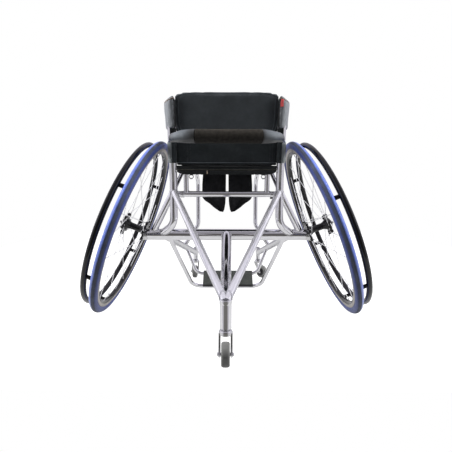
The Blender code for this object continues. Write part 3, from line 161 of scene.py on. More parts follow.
# Foot plate
PLATE_MIDDLE = 0.005
PLATE_HALF = 0.099
PLATE_WIDENING = 0.006
PLATE_THICK = 0.003
PLATE_OVERHANG = 0.012
PLATE_LIP = 0.006
MAT_BORDER = 0.003
MAT_RIBS = 30

# Back and pads
PAD_PRESSURE = 4.0
PAD_FRAMES = 20
BACK_HALF = 0.1598
BACK_TOP = 0.707
BACK_RISE = 0.007
BACK_FALL = 0.0145
BACK_BOTTOM = 0.585
BACK_THICK = 0.013
BACK_BULGE = 0.016
BACK_CORNER = (0.016, 0.008)
SEAM_CORNER = (0.048, 0.024)
WING_INNER = BACK_HALF + 0.0004
WING_OUTER = 0.1975
WING_TOP = 0.6935
WING_PEAK = 0.0045
WING_BOTTOM = 0.6022
WING_SLOPE = 0.0095
WING_TAPER = 0.004
WING_FORWARD = 0.056
WING_BACKWARD = 0.0225
# Half of a wing's section, from its outer edge round to its inner edge, in shares of 1
WING_SECTION = ((1.0, 0.0), (1.0, 0.22), (0.66, 0.7), (0.47, 0.88), (0.28, 0.97), (0.12, 1.0), (0.0, 0.98),
                (0.0, 0.5), (0.0, 0.0))
TAG_CORNER = (0.1648, 0.6655)
TAG_SIZE = (0.0088, 0.0215)
BAR_END_RADIUS = 0.0107
BAR_MIDDLE_RADIUS = 0.0207
BAR_SWELL = (0.171, 0.088)
FOAM_SPAN = (-0.088, 0.0985)
LOWER_SEAMS = (-0.1275, -0.1173, 0.1365, 0.1454)
LOWER_TOP = 0.572
LOWER_BOTTOM = 0.4918
LOWER_DROP = 0.0006
LOWER_THICK = 0.01
LOWER_BULGE = 0.012
SLEEVE_RADIUS = 0.0156
SLEEVE_SPAN = (0.5, 0.5636)
TUCK_SPAN = (0.579, 0.6045)

# Seat
SLING_THICK = 0.003
SLING_SAG = 0.008
SLING_SAG_REACH = 0.05
SLING_REAR_HALF = 0.1612
SLING_FRONT = RAIL_FRONT[1] - 0.072
APRON_DROP = 0.0168
APRON_CORNER = (0.129, 0.0125)
WRAP_ANGLE = 100.0
BEND_RADIUS = RAIL_RADIUS + 0.0014
FLAP_INNER = ((0.014, 0.334), (0.01, 0.3419), (0.0064, 0.3628), (0.0048, 0.3905), (0.004, 0.47))
FLAP_OUTER = ((0.017, 0.334), (0.028, 0.337), (0.0455, 0.3488), (0.0627, 0.3641), (0.0783, 0.374),
              (0.086, 0.3834), (0.0882, 0.3905), (0.0878, 0.429), (0.085, 0.47))
FLAP_SHIFT = 0.0018
FLAP_REACH = 0.05
FLAP_THICK = 0.0026


def at(x, y, z):
    """A point whose y is counted forward from the axle."""
    return Vector((x, AXLE_Y + y, z))


def pair(x, y, z):
    return [at(-x, y, z), at(x, y, z)]


def up_by(height):
    return Vector((0, 0, height))


def on_post(height):
    return POST_Y - RECLINE * max(0.0, height - POST_KNEE)


def post_spot(side, height):
    return at(side * POST_SPREAD, on_post(height), height)


SEAT_BACK = on_post(SEAT_TUBE_HEIGHT)
STEMS = {hand: at(side * FRONT_STEM_SPREAD, FRONT_STEM, 0) for hand, side in SIDES.items()}
STEMS["rear"] = at(0, -REAR_STEM, 0)


# Finishes

def wire(tree, node, **values):
    """Sets or links a node's sockets. An underscore stands for a space in a socket's name."""
    for key, value in values.items():
        socket = node.inputs[key.replace("_", " ")]
        if isinstance(value, bpy.types.NodeSocket):
            tree.links.new(value, socket)
        else:
            socket.default_value = value
    return node


def add_node(tree, kind, **values):
    return wire(tree, tree.nodes.new("ShaderNode" + kind), **values)


def graph(name):
    made = bpy.data.materials.new(name)
    made.use_nodes = True
    return made, made.node_tree, made.node_tree.nodes["Principled BSDF"]


def coordinates(tree):
    return add_node(tree, "TexCoord").outputs["Object"]


def noise_node(tree, scale, detail=3.0):
    return add_node(tree, "TexNoise", Scale=scale, Detail=detail, Vector=coordinates(tree)).outputs["Fac"]


def sums(tree, operation, *values):
    node = add_node(tree, "Math")
    node.operation = operation
    for socket, value in zip(node.inputs, values):
        if isinstance(value, float):
            socket.default_value = value
        else:
            tree.links.new(value, socket)
    return node.outputs[0]


def ranged(tree, value, low, high, to=(0.0, 1.0), kind="SMOOTHSTEP"):
    node = add_node(tree, "MapRange", Value=value, From_Min=low, From_Max=high, To_Min=to[0], To_Max=to[1])
    node.interpolation_type = kind
    return node.outputs["Result"]


def drifting(tree, scale, low, high):
    """A value that wanders over the surface between two bounds."""
    return ranged(tree, noise_node(tree, scale), 0.3, 0.7, (low, high), "LINEAR")


def colour_mix(tree, fac, *colours):
    node = add_node(tree, "Mix")
    node.data_type = "RGBA"
    wire(tree, node, Factor=fac)
    for socket, value in zip([socket for socket in node.inputs if socket.type == "RGBA"], colours):
        if isinstance(value, tuple):
            socket.default_value = (*value, 1.0)
        else:
            tree.links.new(value, socket)
    return next(socket for socket in node.outputs if socket.type == "RGBA")


def weave(tree, pitch):
    """Crossed threads: two sets of bands at right angles on a slant, with no need of a flat layout."""
    heights = []
    for direction in ("X", "Z"):
        node = add_node(tree, "TexWave", Scale=2 * pi / (20 * pitch), Distortion=0.4, Vector=coordinates(tree))
        node.bands_direction = direction
        heights.append(node.outputs["Fac"])
    return sums(tree, "MAXIMUM", *heights)


def surface(name, colour, roughness, metallic=0.0, mottle=0.12, grain=None, grain_scale=700.0, threads=0.0,
            coat=0.0, sheen=0.0, specular=0.5, mottle_scale=30.0):
    """A finish whose colour and roughness drift a little, with grain or threads on it."""
    made, tree, shader = graph(name)
    dark = tuple(channel * (1 - mottle) for channel in colour)
    light = tuple(min(1.0, channel * (1 + mottle)) for channel in colour)
    wire(tree, shader, Base_Color=colour_mix(tree, drifting(tree, mottle_scale, 0.0, 1.0), dark, light),
         Roughness=drifting(tree, mottle_scale * 3, roughness * 0.85, roughness * 1.15),
         Metallic=metallic, Specular_IOR_Level=specular, Coat_Weight=coat, Coat_Roughness=0.35,
         Sheen_Weight=sheen)
    relief = weave(tree, threads) if threads else noise_node(tree, grain_scale, 6.0)
    bump = add_node(tree, "Bump", Strength=0.55 if threads else grain, Distance=0.0003, Height=relief)
    wire(tree, shader, Normal=bump.outputs["Normal"])
    return made


def cloth(name, colour, mottle, sheen, roughness=0.88, threads=0.0011):
    return surface(name, colour, roughness, mottle=mottle, threads=threads, sheen=sheen, specular=0.25)


CHROME = surface("chrome_plate", (0.86, 0.855, 0.88), 0.07, 1.0, 0.03, 0.04, 60)
BEAD = surface("weld_chrome", (0.74, 0.74, 0.76), 0.16, 1.0, 0.08, 0.5, 300)
STRUT_SATIN = surface("polished_alloy", (0.76, 0.75, 0.79), 0.13, 0.72, 0.04, 0.06, 80)
ARM_POLISH = surface("arm_polish", (0.66, 0.66, 0.68), 0.16, 0.85, 0.04, 0.06, 80)
STEEL = surface("bright_steel", (0.62, 0.62, 0.64), 0.24, 1.0, 0.08, 0.1, 200)
ALUMINIUM = surface("satin_aluminium", (0.74, 0.74, 0.75), 0.2, 1.0, 0.06, 0.15, 350)
TRACK = surface("rim_track", (0.5, 0.47, 0.43), 0.38, 0.6, 0.1, 0.2, 500)
SPOKE_STEEL = surface("spoke_steel", (0.86, 0.86, 0.88), 0.3, 0.45, 0.04, 0.05)
BLACK_GLOSS = surface("black_gloss", (0.006, 0.006, 0.007), 0.08, 0.0, 0.2, 0.02, 90, specular=0.38)
BLACK_HUB = surface("black_anodised", (0.01, 0.01, 0.011), 0.2, 0.0, 0.2, 0.05, specular=0.42)
BLACK_PLASTIC = surface("black_plastic", (0.018, 0.018, 0.019), 0.42, 0.0, 0.2, 0.3)
SIDEWALL = surface("blue_sidewall", (0.08, 0.14, 0.5), 0.36, 0.0, 0.14, 0.2, 900, coat=1.0, specular=0.7)
# The sidewall blue in a darker, greyer copy for the inner sidewall: painted shade.
SIDEWALL_PAINTED_SHADE = surface("blue_sidewall_painted_shade", (0.052, 0.072, 0.225), 0.45, 0.0, 0.14, 0.2, 900, coat=0.2,
                         specular=0.4)
TREAD = surface("tread_rubber", (0.078, 0.09, 0.135), 0.6, 0.0, 0.2, 0.7, 1200)
CASTER_RUBBER = surface("caster_rubber", (0.135, 0.135, 0.13), 0.34, 0.0, 0.2, 0.3)
CLOTH = cloth("woven_cloth", (0.054, 0.061, 0.067), 0.1, 0.12)
LOWER_CLOTH = cloth("lower_cloth", (0.027, 0.032, 0.035), 0.12, 0.1)
SEAT_CLOTH = cloth("seat_weave", (0.019, 0.021, 0.022), 0.15, 0.08)
CLOTH_FLAP = cloth("strap_cloth", (0.015, 0.015, 0.017), 0.35, 0.08, 0.8, 0.0009)
# The sleeves' black vinyl in a light grey: a painted sheen.
SLEEVE_VINYL_PAINTED_SHEEN = surface("sleeve_vinyl_painted_sheen", (0.19, 0.208, 0.21), 0.5, 0.0, 0.15, 0.35, 520, coat=0.3)
# The wings' black vinyl in a lighter grey: a painted sheen.
VINYL_PAINTED_SHEEN = surface("black_vinyl", (0.134, 0.145, 0.155), 0.42, 0.0, 0.15, 0.35, 520, coat=0.8, specular=0.8)
# The bar's black vinyl in a light grey: a painted sheen. Further down it is darkened outside its sheen bands and
# underneath, as painted shade.
BAR_VINYL_PAINTED_SHEEN = surface("bar_vinyl_painted_sheen", (0.082, 0.095, 0.105), 0.4, 0.0, 0.15, 0.35, 480, coat=0.4, specular=0.6)
FOAM = surface("bar_foam", (0.028, 0.025, 0.021), 0.85, 0.0, 0.3, 0.8, 1100, specular=0.3, mottle_scale=120)
PIPING = surface("piping_cord", (0.085, 0.1, 0.112), 0.5, 0.0, 0.2, 0.4)
APRON_EDGE = surface("apron_edge", (0.045, 0.045, 0.038), 0.8, mottle=0.2, threads=0.0008)
RED_TAG = surface("red_tag", (0.92, 0.13, 0.13), 0.6, mottle=0.1, threads=0.0007)
THREAD = surface("seam_thread", (0.1, 0.1, 0.11), 0.7, 0.0, 0.15, 0.4)
WHITE_THREAD = surface("white_thread", (0.55, 0.56, 0.58), 0.7, 0.0, 0.15, 0.4)
# A brown cord colour for the wing's top edge: a painted highlight.
BROWN_PAINTED_HIGHLIGHT = surface("brown_painted_edge_highlight", (0.21, 0.16, 0.13), 0.55, 0.0, 0.15, 0.3)
BEIGE = surface("beige_pull", (0.42, 0.34, 0.25), 0.55, 0.0, 0.15, 0.3)
FOOT_GRIP = surface("foot_grip", (0.05, 0.054, 0.048), 0.7, 0.0, 0.25, 0.9, 650)
BRASS = surface("valve_brass", (0.55, 0.42, 0.22), 0.35, 1.0, 0.1, 0.1)


def painted_sheen_and_shade(finish, inner, outer, under, painted_shade_colour):
    """Paints sheen and shade: the finish keeps its own lighter colour, a painted sheen, between two bands of X on
    either side, and takes the darker colour, painted shade, past them and on faces that look down.
    """
    tree = finish.node_tree
    shader = tree.nodes["Principled BSDF"]
    across = add_node(tree, "SeparateXYZ", Vector=coordinates(tree))
    reach = sums(tree, "ABSOLUTE", across.outputs["X"])
    bands = sums(tree, "MULTIPLY", ranged(tree, reach, *inner), ranged(tree, reach, *outer))
    heading = add_node(tree, "SeparateXYZ", Vector=add_node(tree, "NewGeometry").outputs["Normal"])
    unshaded_faces_mask = ranged(tree, heading.outputs["Z"], *under)
    # The finish's own lighter colour stands for the painted sheen.
    bright = shader.inputs["Base Color"].links[0].from_socket
    wire(tree, shader, Base_Color=colour_mix(tree, sums(tree, "MULTIPLY", bands, unshaded_faces_mask), painted_shade_colour, bright))


# The bar's vinyl ends: painted sheen in bands on their upper faces, painted shade past the bands and underneath.
painted_sheen_and_shade(BAR_VINYL_PAINTED_SHEEN, (0.096, 0.132), (0.176, 0.146), (-0.95, 0.15), (0.024, 0.026, 0.026))


# Shapes

def turns(count):
    return [2 * pi * index / count for index in range(count)]


def polar(radius, angle, height=0.0):
    return Vector((radius * cos(angle), radius * sin(angle), height))


def grid_faces(rings, sides, caps=False, loop=False):
    """Quads between rings of vertices, with flat caps or closed into a loop."""
    faces = []
    for ring in range(rings if loop else rings - 1):
        here, there = ring * sides, (ring + 1) % rings * sides
        for side in range(sides):
            across = (side + 1) % sides
            faces.append((here + side, here + across, there + across, there + side))
    if caps:
        faces.append(tuple(reversed(range(sides))))
        faces.append(tuple(range((rings - 1) * sides, rings * sides)))
    return faces


def turned(profile, segments, ripple=None, loop=False):
    """A capped solid, or with loop a ring, turned about Z from (radius, height) points."""
    verts = []
    for radius, height in profile:
        for angle in turns(segments):
            verts.append(polar(ripple(radius, height, angle) if ripple else radius, angle, height))
    return verts, grid_faces(len(profile), segments, not loop, loop)


def rounded_path(corners, radius):
    """The straight runs through the corners, joined by arcs of the given radius."""
    path = [corners[0].copy()]
    for before, corner, after in zip(corners, corners[1:], corners[2:]):
        back = (before - corner).normalized()
        ahead = (after - corner).normalized()
        turn = pi - back.angle(ahead)
        start = corner + back * radius * tan(turn / 2)
        centre = corner + (back + ahead).normalized() * (radius / cos(turn / 2))
        axis = (-back).cross(ahead).normalized()
        steps = max(2, round(degrees(turn) / BEND_STEP))
        for index in range(steps + 1):
            path.append(centre + Matrix.Rotation(turn * index / steps, 3, axis) @ (start - centre))
    return path + [corners[-1].copy()]


def swept(path, radius, sides=TUBE_SIDES, loop=False, flat=1.0):
    """A bar along a path. The radius is one number or one for each point; flat squeezes it one way."""
    count = len(path)
    radii = radius if isinstance(radius, list) else [radius] * count
    heading = (path[1] - path[0]).normalized()
    across = heading.orthogonal().normalized()
    if abs(heading.y) < 0.9:
        across = heading.cross(Vector((0, 1, 0))).normalized()
    verts = []
    for index, point in enumerate(path):
        ends = (index + 1) % count, index - 1
        if not loop:
            ends = min(index + 1, count - 1), max(index - 1, 0)
        tangent = (path[ends[0]] - path[ends[1]]).normalized()
        across = heading.rotation_difference(tangent) @ across
        heading = tangent
        other = heading.cross(across)
        for angle in turns(sides):
            verts.append(point + (across * cos(angle) + other * sin(angle) * flat) * radii[index])
    return verts, grid_faces(count, sides, not loop, loop)


def prism(outline, low, high, chamfer=0.0):
    """An outline in the YZ plane given a thickness along X, with its edges drawn in a little."""
    middle = Vector([sum(values) for values in zip(*outline)]) / len(outline)
    verts = []
    for x, inset in ((low, chamfer), (low + chamfer, 0.0), (high - chamfer, 0.0), (high, chamfer)):
        for y, z in outline:
            inward = (middle - Vector((y, z))).normalized() * inset
            verts.append(Vector((x, y + inward.x, z + inward.y)))
    return verts, grid_faces(4, len(outline), caps=True)


def hexagon(radius, low, high):
    """A nut or bolt head about Z with softened corners."""
    edge = radius * 0.12
    return turned([(radius - edge, low), (radius, low + edge), (radius, high - edge), (radius - edge, high)], 6)


def dome(radius, height, low=0.0, segments=20):
    """A round head about Z."""
    arc = [pi / 2 * index / 6 for index in range(6)]
    profile = [(radius * cos(angle), low + height * sin(angle)) for angle in arc]
    return turned([(radius, low), *profile, (radius * 0.08, low + height)], segments)


def facing(point, direction):
    """Where a piece turned about Z goes to stand at a point and look along a direction."""
    return Matrix.Translation(point) @ Vector(direction).to_track_quat("Z", "Y").to_matrix().to_4x4()


def meshed(name, verts, faces):
    """A mesh whose faces all look outward."""
    mesh = bpy.data.meshes.new(name)
    mesh.from_pydata([tuple(vert) for vert in verts], [], faces)
    shell = bmesh.new()
    shell.from_mesh(mesh)
    bmesh.ops.recalc_face_normals(shell, faces=shell.faces)
    shell.to_mesh(mesh)
    shell.free()
    return mesh


def linked(name, data):
    piece = bpy.data.objects.new(name, data)
    bpy.context.scene.collection.objects.link(piece)
    return piece


class Shape:
    """Vertices, faces and finishes of one piece that is put together part by part."""

    def __init__(self):
        self.verts, self.faces, self.finish = [], [], []

    def add(self, form, finish=0, matrix=None):
        verts, faces = form
        first = len(self.verts)
        self.verts += [matrix @ vert for vert in verts] if matrix else verts
        self.faces += [tuple(first + index for index in face) for face in faces]
        self.finish += finish if isinstance(finish, list) else [finish] * len(faces)
        return self

    def ring(self, profile, segments, kinds):
        """Adds a turned ring with a finish for each point of its profile."""
        return self.add(turned(profile, segments, loop=True), [kind for kind in kinds for _ in range(segments)])

    def build(self, name, finishes, body, slot, replaced=(), matrix=None, sharp=35.0):
        mesh = meshed(name, self.verts, self.faces)
        for finish in finishes:
            mesh.materials.append(finish)
        for face, finish in zip(mesh.polygons, self.finish):
            face.material_index = finish
        mesh.shade_smooth()
        mesh.set_sharp_from_angle(angle=radians(sharp))
        piece = linked(name, mesh)
        if matrix:
            piece.matrix_world = matrix
        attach(piece, body)
        if replaced:
            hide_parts(*replaced)
        return piece

    def on_wheel(self, name, node, hand, finishes, slot):
        """Builds a piece whose Z is a drive wheel's axle, outward."""
        side = SIDES[hand]
        matrix = (Matrix.Translation(at(side * HALF_TRACK, 0, HUB_HEIGHT))
                  @ Matrix.Rotation(side * (pi / 2 - CAMBER), 4, "Y"))
        return self.build(f"{name}_{hand}", finishes, f"wheel_{hand}", slot, [f"{node}_{hand}"], matrix)


def single(name, form, finish, slot, replaced=(), sharp=60.0):
    return Shape().add(form).build(name, [finish], "frame", slot, replaced, sharp=sharp)


# Rear wheels

def tyre(hand):
    """Blue sidewalls with a moulded line, and a dark tread with four grooves. The inner sidewall takes a darker,
    greyer copy of the blue: painted shade.
    """
    profile, zones = [], []
    for angle in range(-BEAD_ANGLE, BEAD_ANGLE + 1, 2):
        off = abs(angle - TREAD_SHIFT)
        reach = TYRE_RADIUS
        if (off < TREAD_ANGLE and round(off / 2) in (4, 9)) or TREAD_ANGLE <= off < TREAD_ANGLE + 3:
            reach -= TYRE_GROOVE
        elif off >= TREAD_ANGLE and abs(abs(angle) - SIDE_LINE_ANGLE) < 3:
            reach += TYRE_GROOVE
        profile.append((TYRE_CIRCLE + reach * cos(radians(angle)), reach * sin(radians(angle))))
        # Zone 2, the inner sidewall, takes the darker copy of the blue: painted shade.
        zones.append(1 if off < TREAD_ANGLE else 2 if angle < TREAD_SHIFT else 0)
    Shape().ring(profile, WHEEL_STEPS, zones).on_wheel(
        "tyre_skin", "tyre", hand, [SIDEWALL, TREAD, SIDEWALL_PAINTED_SHADE], "tyre")


def mirrored(side):
    """A profile's upper half, followed by the same points below."""
    return side + [(radius, -height) for radius, height in reversed(side)]


def rim(hand):
    """A black box-section rim with satin side tracks, nipples in its bed and a valve."""
    foot = RIM_OUTER - TRACK_DEPTH
    lip, bed = 0.0006, 0.004
    profile = mirrored([(RIM_OUTER, RIM_HALF - lip), (RIM_OUTER - lip, RIM_HALF), (foot + lip, RIM_HALF),
                        (foot, RIM_HALF - lip), (foot - 0.003, RIM_HALF - 0.0012),
                        (RIM_INNER + 0.002, bed + 0.0012), (RIM_INNER, bed - 0.0005)])
    shape = Shape().ring(profile, WHEEL_STEPS, [1] * 3 + [0] * 7 + [1] * 3 + [0])
    nipple = turned([(0.0022, -0.0004), (0.0022, 0.0012), (0.0015, 0.002), (0.0015, 0.0095), (0.0012, 0.01)], 10)
    for start, finish in spoke_ends():
        shape.add(nipple, 2, facing(finish, (start - finish).normalized()))
    valve = facing(polar(RIM_INNER + 0.001, VALVE_ANGLE), -polar(1, VALVE_ANGLE))
    stem = [(0.0046, 0), (0.0046, 0.0015), (0.0033, 0.0022), (0.003, 0.022), (0.0026, 0.024)]
    cap = [(0.0036, 0.021), (0.0036, 0.03), (0.0024, 0.032)]
    shape.add(turned(stem, 16), 3, valve).add(turned(cap, 16), 4, valve)
    shape.on_wheel("rim_shell", "rim", hand, [BLACK_GLOSS, TRACK, ALUMINIUM, BRASS, BLACK_PLASTIC], "rim_black")


def handrim(hand):
    """The glossy hand ring on six bent brackets that are screwed to the rim's side."""
    ring = [(HANDRIM_RADIUS + HANDRIM_TUBE * cos(angle), HANDRIM_OFFSET + HANDRIM_TUBE * sin(angle))
            for angle in turns(20)]
    shape = Shape().add(turned(ring, WHEEL_STEPS, loop=True))
    seat = RIM_OUTER - TRACK_DEPTH / 2
    for index in range(TAB_COUNT):
        out = polar(1, radians(360 * index / TAB_COUNT + TAB_TURN[hand]))
        bracket = [out * distance + up_by(height) for distance, height in (
            (seat, RIM_HALF + 0.0004), (seat - 0.001, 0.022), (HANDRIM_RADIUS - 0.002, HANDRIM_OFFSET - 0.002))]
        shape.add(swept(rounded_path(bracket, 0.03), 0.0064, 16, flat=0.52))
        shape.add(turned([(0.0085, 0), (0.0085, 0.0016), (0.007, 0.0028)], 20), 0,
                  facing(out * seat + up_by(RIM_HALF - 0.0002), (0, 0, 1)))
        shape.add(dome(0.0034, 0.0022, -0.0006), 1,
                  facing(out * (HANDRIM_RADIUS - HANDRIM_TUBE * 0.8) + up_by(HANDRIM_OFFSET), -out))
    shape.on_wheel("hand_ring", "handrim", hand, [BLACK_GLOSS, STEEL], "handrim_black")


def first_hole(face):
    return 0.0 if face > 0 else SPOKE_PITCH / 2


def lobe_tip(face):
    return first_hole(face) + SPOKE_PITCH / 2


def spoke_ends():
    """Where each spoke starts in its flange and ends at the rim bed."""
    ends = []
    for flange, face in ((FLANGE_OUTER, 1), (-FLANGE_INNER, -1)):
        for index in range(SPOKES_PER_FLANGE):
            way = -1 if index % 2 else 1
            lean = SPOKE_STAGGER * way
            start = first_hole(face) + SPOKE_PITCH * index
            ends.append((polar(SPOKE_HOLE, start, flange + face * lean * 1.9),
                         polar(RIM_INNER - 0.0003, start + SPOKE_LEAD * way,
                               face * (SPOKE_STAGGER * 0.5 + lean))))
    return ends


def flange_ripple(radius, height, angle):
    """The lobes of the two flanges. What lies nearer to the axle stays round."""
    if radius < FLANGE_RADIUS - 0.001:
        return radius
    swing = (FLANGE_RADIUS - FLANGE_VALLEY) / 2
    wave = cos(FLANGE_LOBES * (angle - lobe_tip(height)))
    return (FLANGE_RADIUS + FLANGE_VALLEY) / 2 + swing * wave - (FLANGE_RADIUS - radius)


def hub(hand):
    """The black hub shell with its lobed flanges, the spokes hooked into them and their heads."""
    half, edge = FLANGE_THICK / 2, 0.0006
    end, waist, bore, axle = 0.018, 0.011, 0.0142, 0.0075
    seat = BEARING_WIDTH + 0.0005
    inner, outer = -FLANGE_INNER, FLANGE_OUTER

    def flange(middle):
        return [(FLANGE_RADIUS - edge, middle - half), (FLANGE_RADIUS, middle - half + edge),
                (FLANGE_RADIUS, middle + half - edge), (FLANGE_RADIUS - edge, middle + half)]

    profile = [(end - edge, -HUB_INNER_END), *flange(inner), (end + 0.002, inner + half),
               (end, inner + half + 0.002), (waist + 0.001, -0.024), (waist, -0.02), (waist, 0.01),
               (waist + 0.001, 0.014), (end, outer - half - 0.002), (end + 0.002, outer - half), *flange(outer),
               (end + 0.001, outer + half), (end, outer + half + 0.001), (end, HUB_OUTER_END - edge),
               (end - edge, HUB_OUTER_END), (bore, HUB_OUTER_END), (bore, HUB_OUTER_END - seat),
               (axle, HUB_OUTER_END - seat), (axle, seat - HUB_INNER_END), (bore, seat - HUB_INNER_END),
               (bore, -HUB_INNER_END)]
    shape = Shape().add(turned(profile, 96, flange_ripple, True))
    for middle, face, rise in ((inner, -1, 0.0042), (outer, 1, 0.0056)):
        boss = turned([(0.005, -rise), (0.0062, -rise * 0.7), (0.0062, rise * 0.7), (0.005, rise)], 20)
        for angle in turns(FLANGE_LOBES):
            shape.add(boss, 0, Matrix.Translation(polar(BOSS_CIRCLE, lobe_tip(face) + angle, middle)))
    for start, finish in spoke_ends():
        middle = outer if start.z > 0 else inner
        out = start.z - middle
        bend = start + (finish - start).normalized() * 0.003 + up_by(out * 0.4)
        hook = [Vector((*start.xy, height)) for height in (middle - out * 2, start.z + out * 0.3)]
        shape.add(swept([*hook, bend, finish], SPOKE_RADIUS, 8), 1)
        head = Vector((*start.xy, middle - copysign(half, out)))
        shape.add(dome(0.0016, 0.0008, 0.0, 12), 1, facing(head, up_by(-out)))
    shape.on_wheel("hub_laced", "hub_and_spokes", hand, [BLACK_HUB, SPOKE_STEEL], "hub_black")


def bearing(hand, which, face, back):
    """A sealed bearing: two steel rings and a dark shield set a little below them."""
    way = copysign(1, face - back)
    sink = face - way * 0.0005
    profile = [(0.0069, face), (0.0088, face), (0.009, sink), (0.0117, sink), (0.0119, face), (0.0137, face),
               (0.0139, face - way * 0.0003), (0.0139, back), (0.0069, back)]
    Shape().ring(profile, 48, [0] + [1] * 3 + [0] * 5).on_wheel(
        f"bearing_{which}", f"wheel_bearing_{which}", hand, [STEEL, BLACK_PLASTIC], "bearing_steel")


def wheels():
    for hand in SIDES:
        tyre(hand)
        rim(hand)
        handrim(hand)
        hub(hand)
        bearing(hand, "outer", HUB_OUTER_END, HUB_OUTER_END - BEARING_WIDTH)
        bearing(hand, "inner", -HUB_INNER_END, BEARING_WIDTH - HUB_INNER_END)
        for node, finish in (("axle_pin", STEEL), ("release_button", ALUMINIUM), ("axle_receiver", ALUMINIUM)):
            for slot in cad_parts[f"{node}_{hand}"].material_slots:
                slot.material = finish


# Frame

def arm_point(side, share):
    root = at(side * ARM_ROOT, 0, CAMBER_TUBE_HEIGHT)
    return root.lerp(at(side * FRONT_STEM_SPREAD, FRONT_STEM, ARM_END_HEIGHT), share)


def rail_path(side):
    foot = at(side * RAIL_FRONT[0], RAIL_FRONT[1], RAIL_FOOT_HEIGHT)
    front = at(side * RAIL_FRONT[0], *RAIL_FRONT[1:])
    upper = rounded_path([post_spot(side, SEAT_TUBE_HEIGHT), front, foot], BEND_RADII["rail"])
    lower = rounded_path([upper[-2], foot, arm_point(side, ARM_SHARES["rail"])], BEND_RADII["leg"])
    return upper[:-1] + lower[1:]


def rail_spot(side, reach):
    start = post_spot(side, SEAT_TUBE_HEIGHT)
    front = at(side * RAIL_FRONT[0], *RAIL_FRONT[1:])
    return start.lerp(front, (reach - (start.y - AXLE_Y)) / (front.y - start.y))


def bowed(ends, bends, key):
    """A tube's path between two ends, through two bends that mirror each other."""
    low, high = pair(*bends)
    return rounded_path([ends[0], low, high, ends[1]], BEND_RADII[key])


def bar_path():
    return bowed(pair(POST_SPREAD, on_post(BAR_HEIGHT), BAR_HEIGHT), BAR_BENDS, "bar")


def frame_paths():
    """Path, radius and CAD node of each tube, and what its two ends are welded to: a tube or a caster's stem."""
    posts = ("post_left", "post_right")
    paths = {
        "camber": (pair(CAMBER_TUBE_HALF, 0, CAMBER_TUBE_HEIGHT), CAMBER_TUBE_RADIUS, "camber_tube", None, None),
        "cross": (pair(POST_SPREAD, POST_Y, CROSS_HEIGHT), CROSS_RADIUS, "upper_cross_tube", *posts),
        "seat": (pair(POST_SPREAD, SEAT_BACK, SEAT_TUBE_HEIGHT), RAIL_RADIUS, "seat_rear_tube", *posts),
        "anti_tip": ([at(0, 0, CAMBER_TUBE_HEIGHT), at(0, -REAR_STEM, ANTI_TIP_HEIGHTS["tube"])],
                     ANTI_TIP_RADII, "anti_tip_tube", "camber", None),
        "bar": (bar_path(), BAR_RADIUS, "back_bar", *posts),
        "loop": (bowed(pair(LOOP_ROOT, 0, CAMBER_TUBE_HEIGHT), LOOP_BENDS, "loop"), LOOP_RADIUS, "foot_loop",
                 "camber", "camber"),
        "foot_bar": (bowed([arm_point(side, ARM_SHARES["foot_bar"]) for side in (-1, 1)], FOOT_BAR_BENDS,
                           "foot_bar"), FOOT_BAR_RADIUS, "foot_bar", "arm_left", "arm_right")}
    for hand, side in SIDES.items():
        post, root = f"post_{hand}", post_spot(side, STRUT_HEIGHT)
        heights = (POST_BEND_HEIGHT, POST_KNEE, POST_TOP)
        upright = rounded_path([at(side * POST_ROOT[0], *POST_ROOT[1:]),
                                *[post_spot(side, height) for height in heights]], BEND_RADII["post"])
        arm = [arm_point(side, share) for share in (0, ARM_SHARES["housing"])]
        paths |= {
            post: (upright, POST_RADIUS, f"side_post_{hand}", "camber", None),
            f"brace_{hand}": ([root, at(side * BRACE_ROOT, 0, CAMBER_TUBE_HEIGHT)], BRACE_RADIUS,
                              f"side_brace_{hand}", post, "camber"),
            f"rail_{hand}": (rail_path(side), RAIL_RADIUS, f"seat_rail_{hand}", post, f"arm_{hand}"),
            f"gusset_{hand}": ([root, rail_spot(side, GUSSET_REACH)], GUSSET_RADIUS, f"rail_gusset_{hand}",
                               post, f"rail_{hand}"),
            f"arm_{hand}": (arm, ARM_RADIUS, f"caster_arm_{hand}", "camber", hand),
            f"strut_{hand}": ([root, at(side * 0.002, -REAR_STEM, ANTI_TIP_HEIGHTS["strut"])], STRUT_RADIUS,
                              f"anti_tip_strut_{hand}", post, "rear")}
    return paths


def weld(shape, end, ahead, radius, spot, along, other_radius):
    """A small bead where a tube's skin runs into another tube's skin."""
    direction = (ahead - end).normalized()
    along = along.normalized()
    across = direction.orthogonal().normalized()
    other = direction.cross(across)
    run = direction - along * direction.dot(along)
    path = []
    for angle in turns(WELD_STEPS):
        start = end + (across * cos(angle) + other * sin(angle)) * radius
        gap = start - spot
        gap -= along * gap.dot(along)
        a, b, c = run.dot(run), 2 * gap.dot(run), gap.dot(gap) - other_radius ** 2
        root = b * b - 4 * a * c
        if a < 1e-9 or root < 0:
            return
        path.append(start + direction * ((sqrt(root) - b) / (2 * a)))
    radii = [0.0017 + 0.0003 * sin(index * 2.4) for index in range(WELD_STEPS)]
    shape.add(swept(path, radii, 10, loop=True), 1)


def nearest_run(path, spot):
    """The straight run of a tube's path that passes nearest to a point."""
    def distance(run):
        start, heading = run[0], run[1] - run[0]
        share = min(1.0, max(0.0, (spot - start).dot(heading) / heading.length_squared))
        return (start + heading * share - spot).length
    return min(zip(path, path[1:]), key=distance)


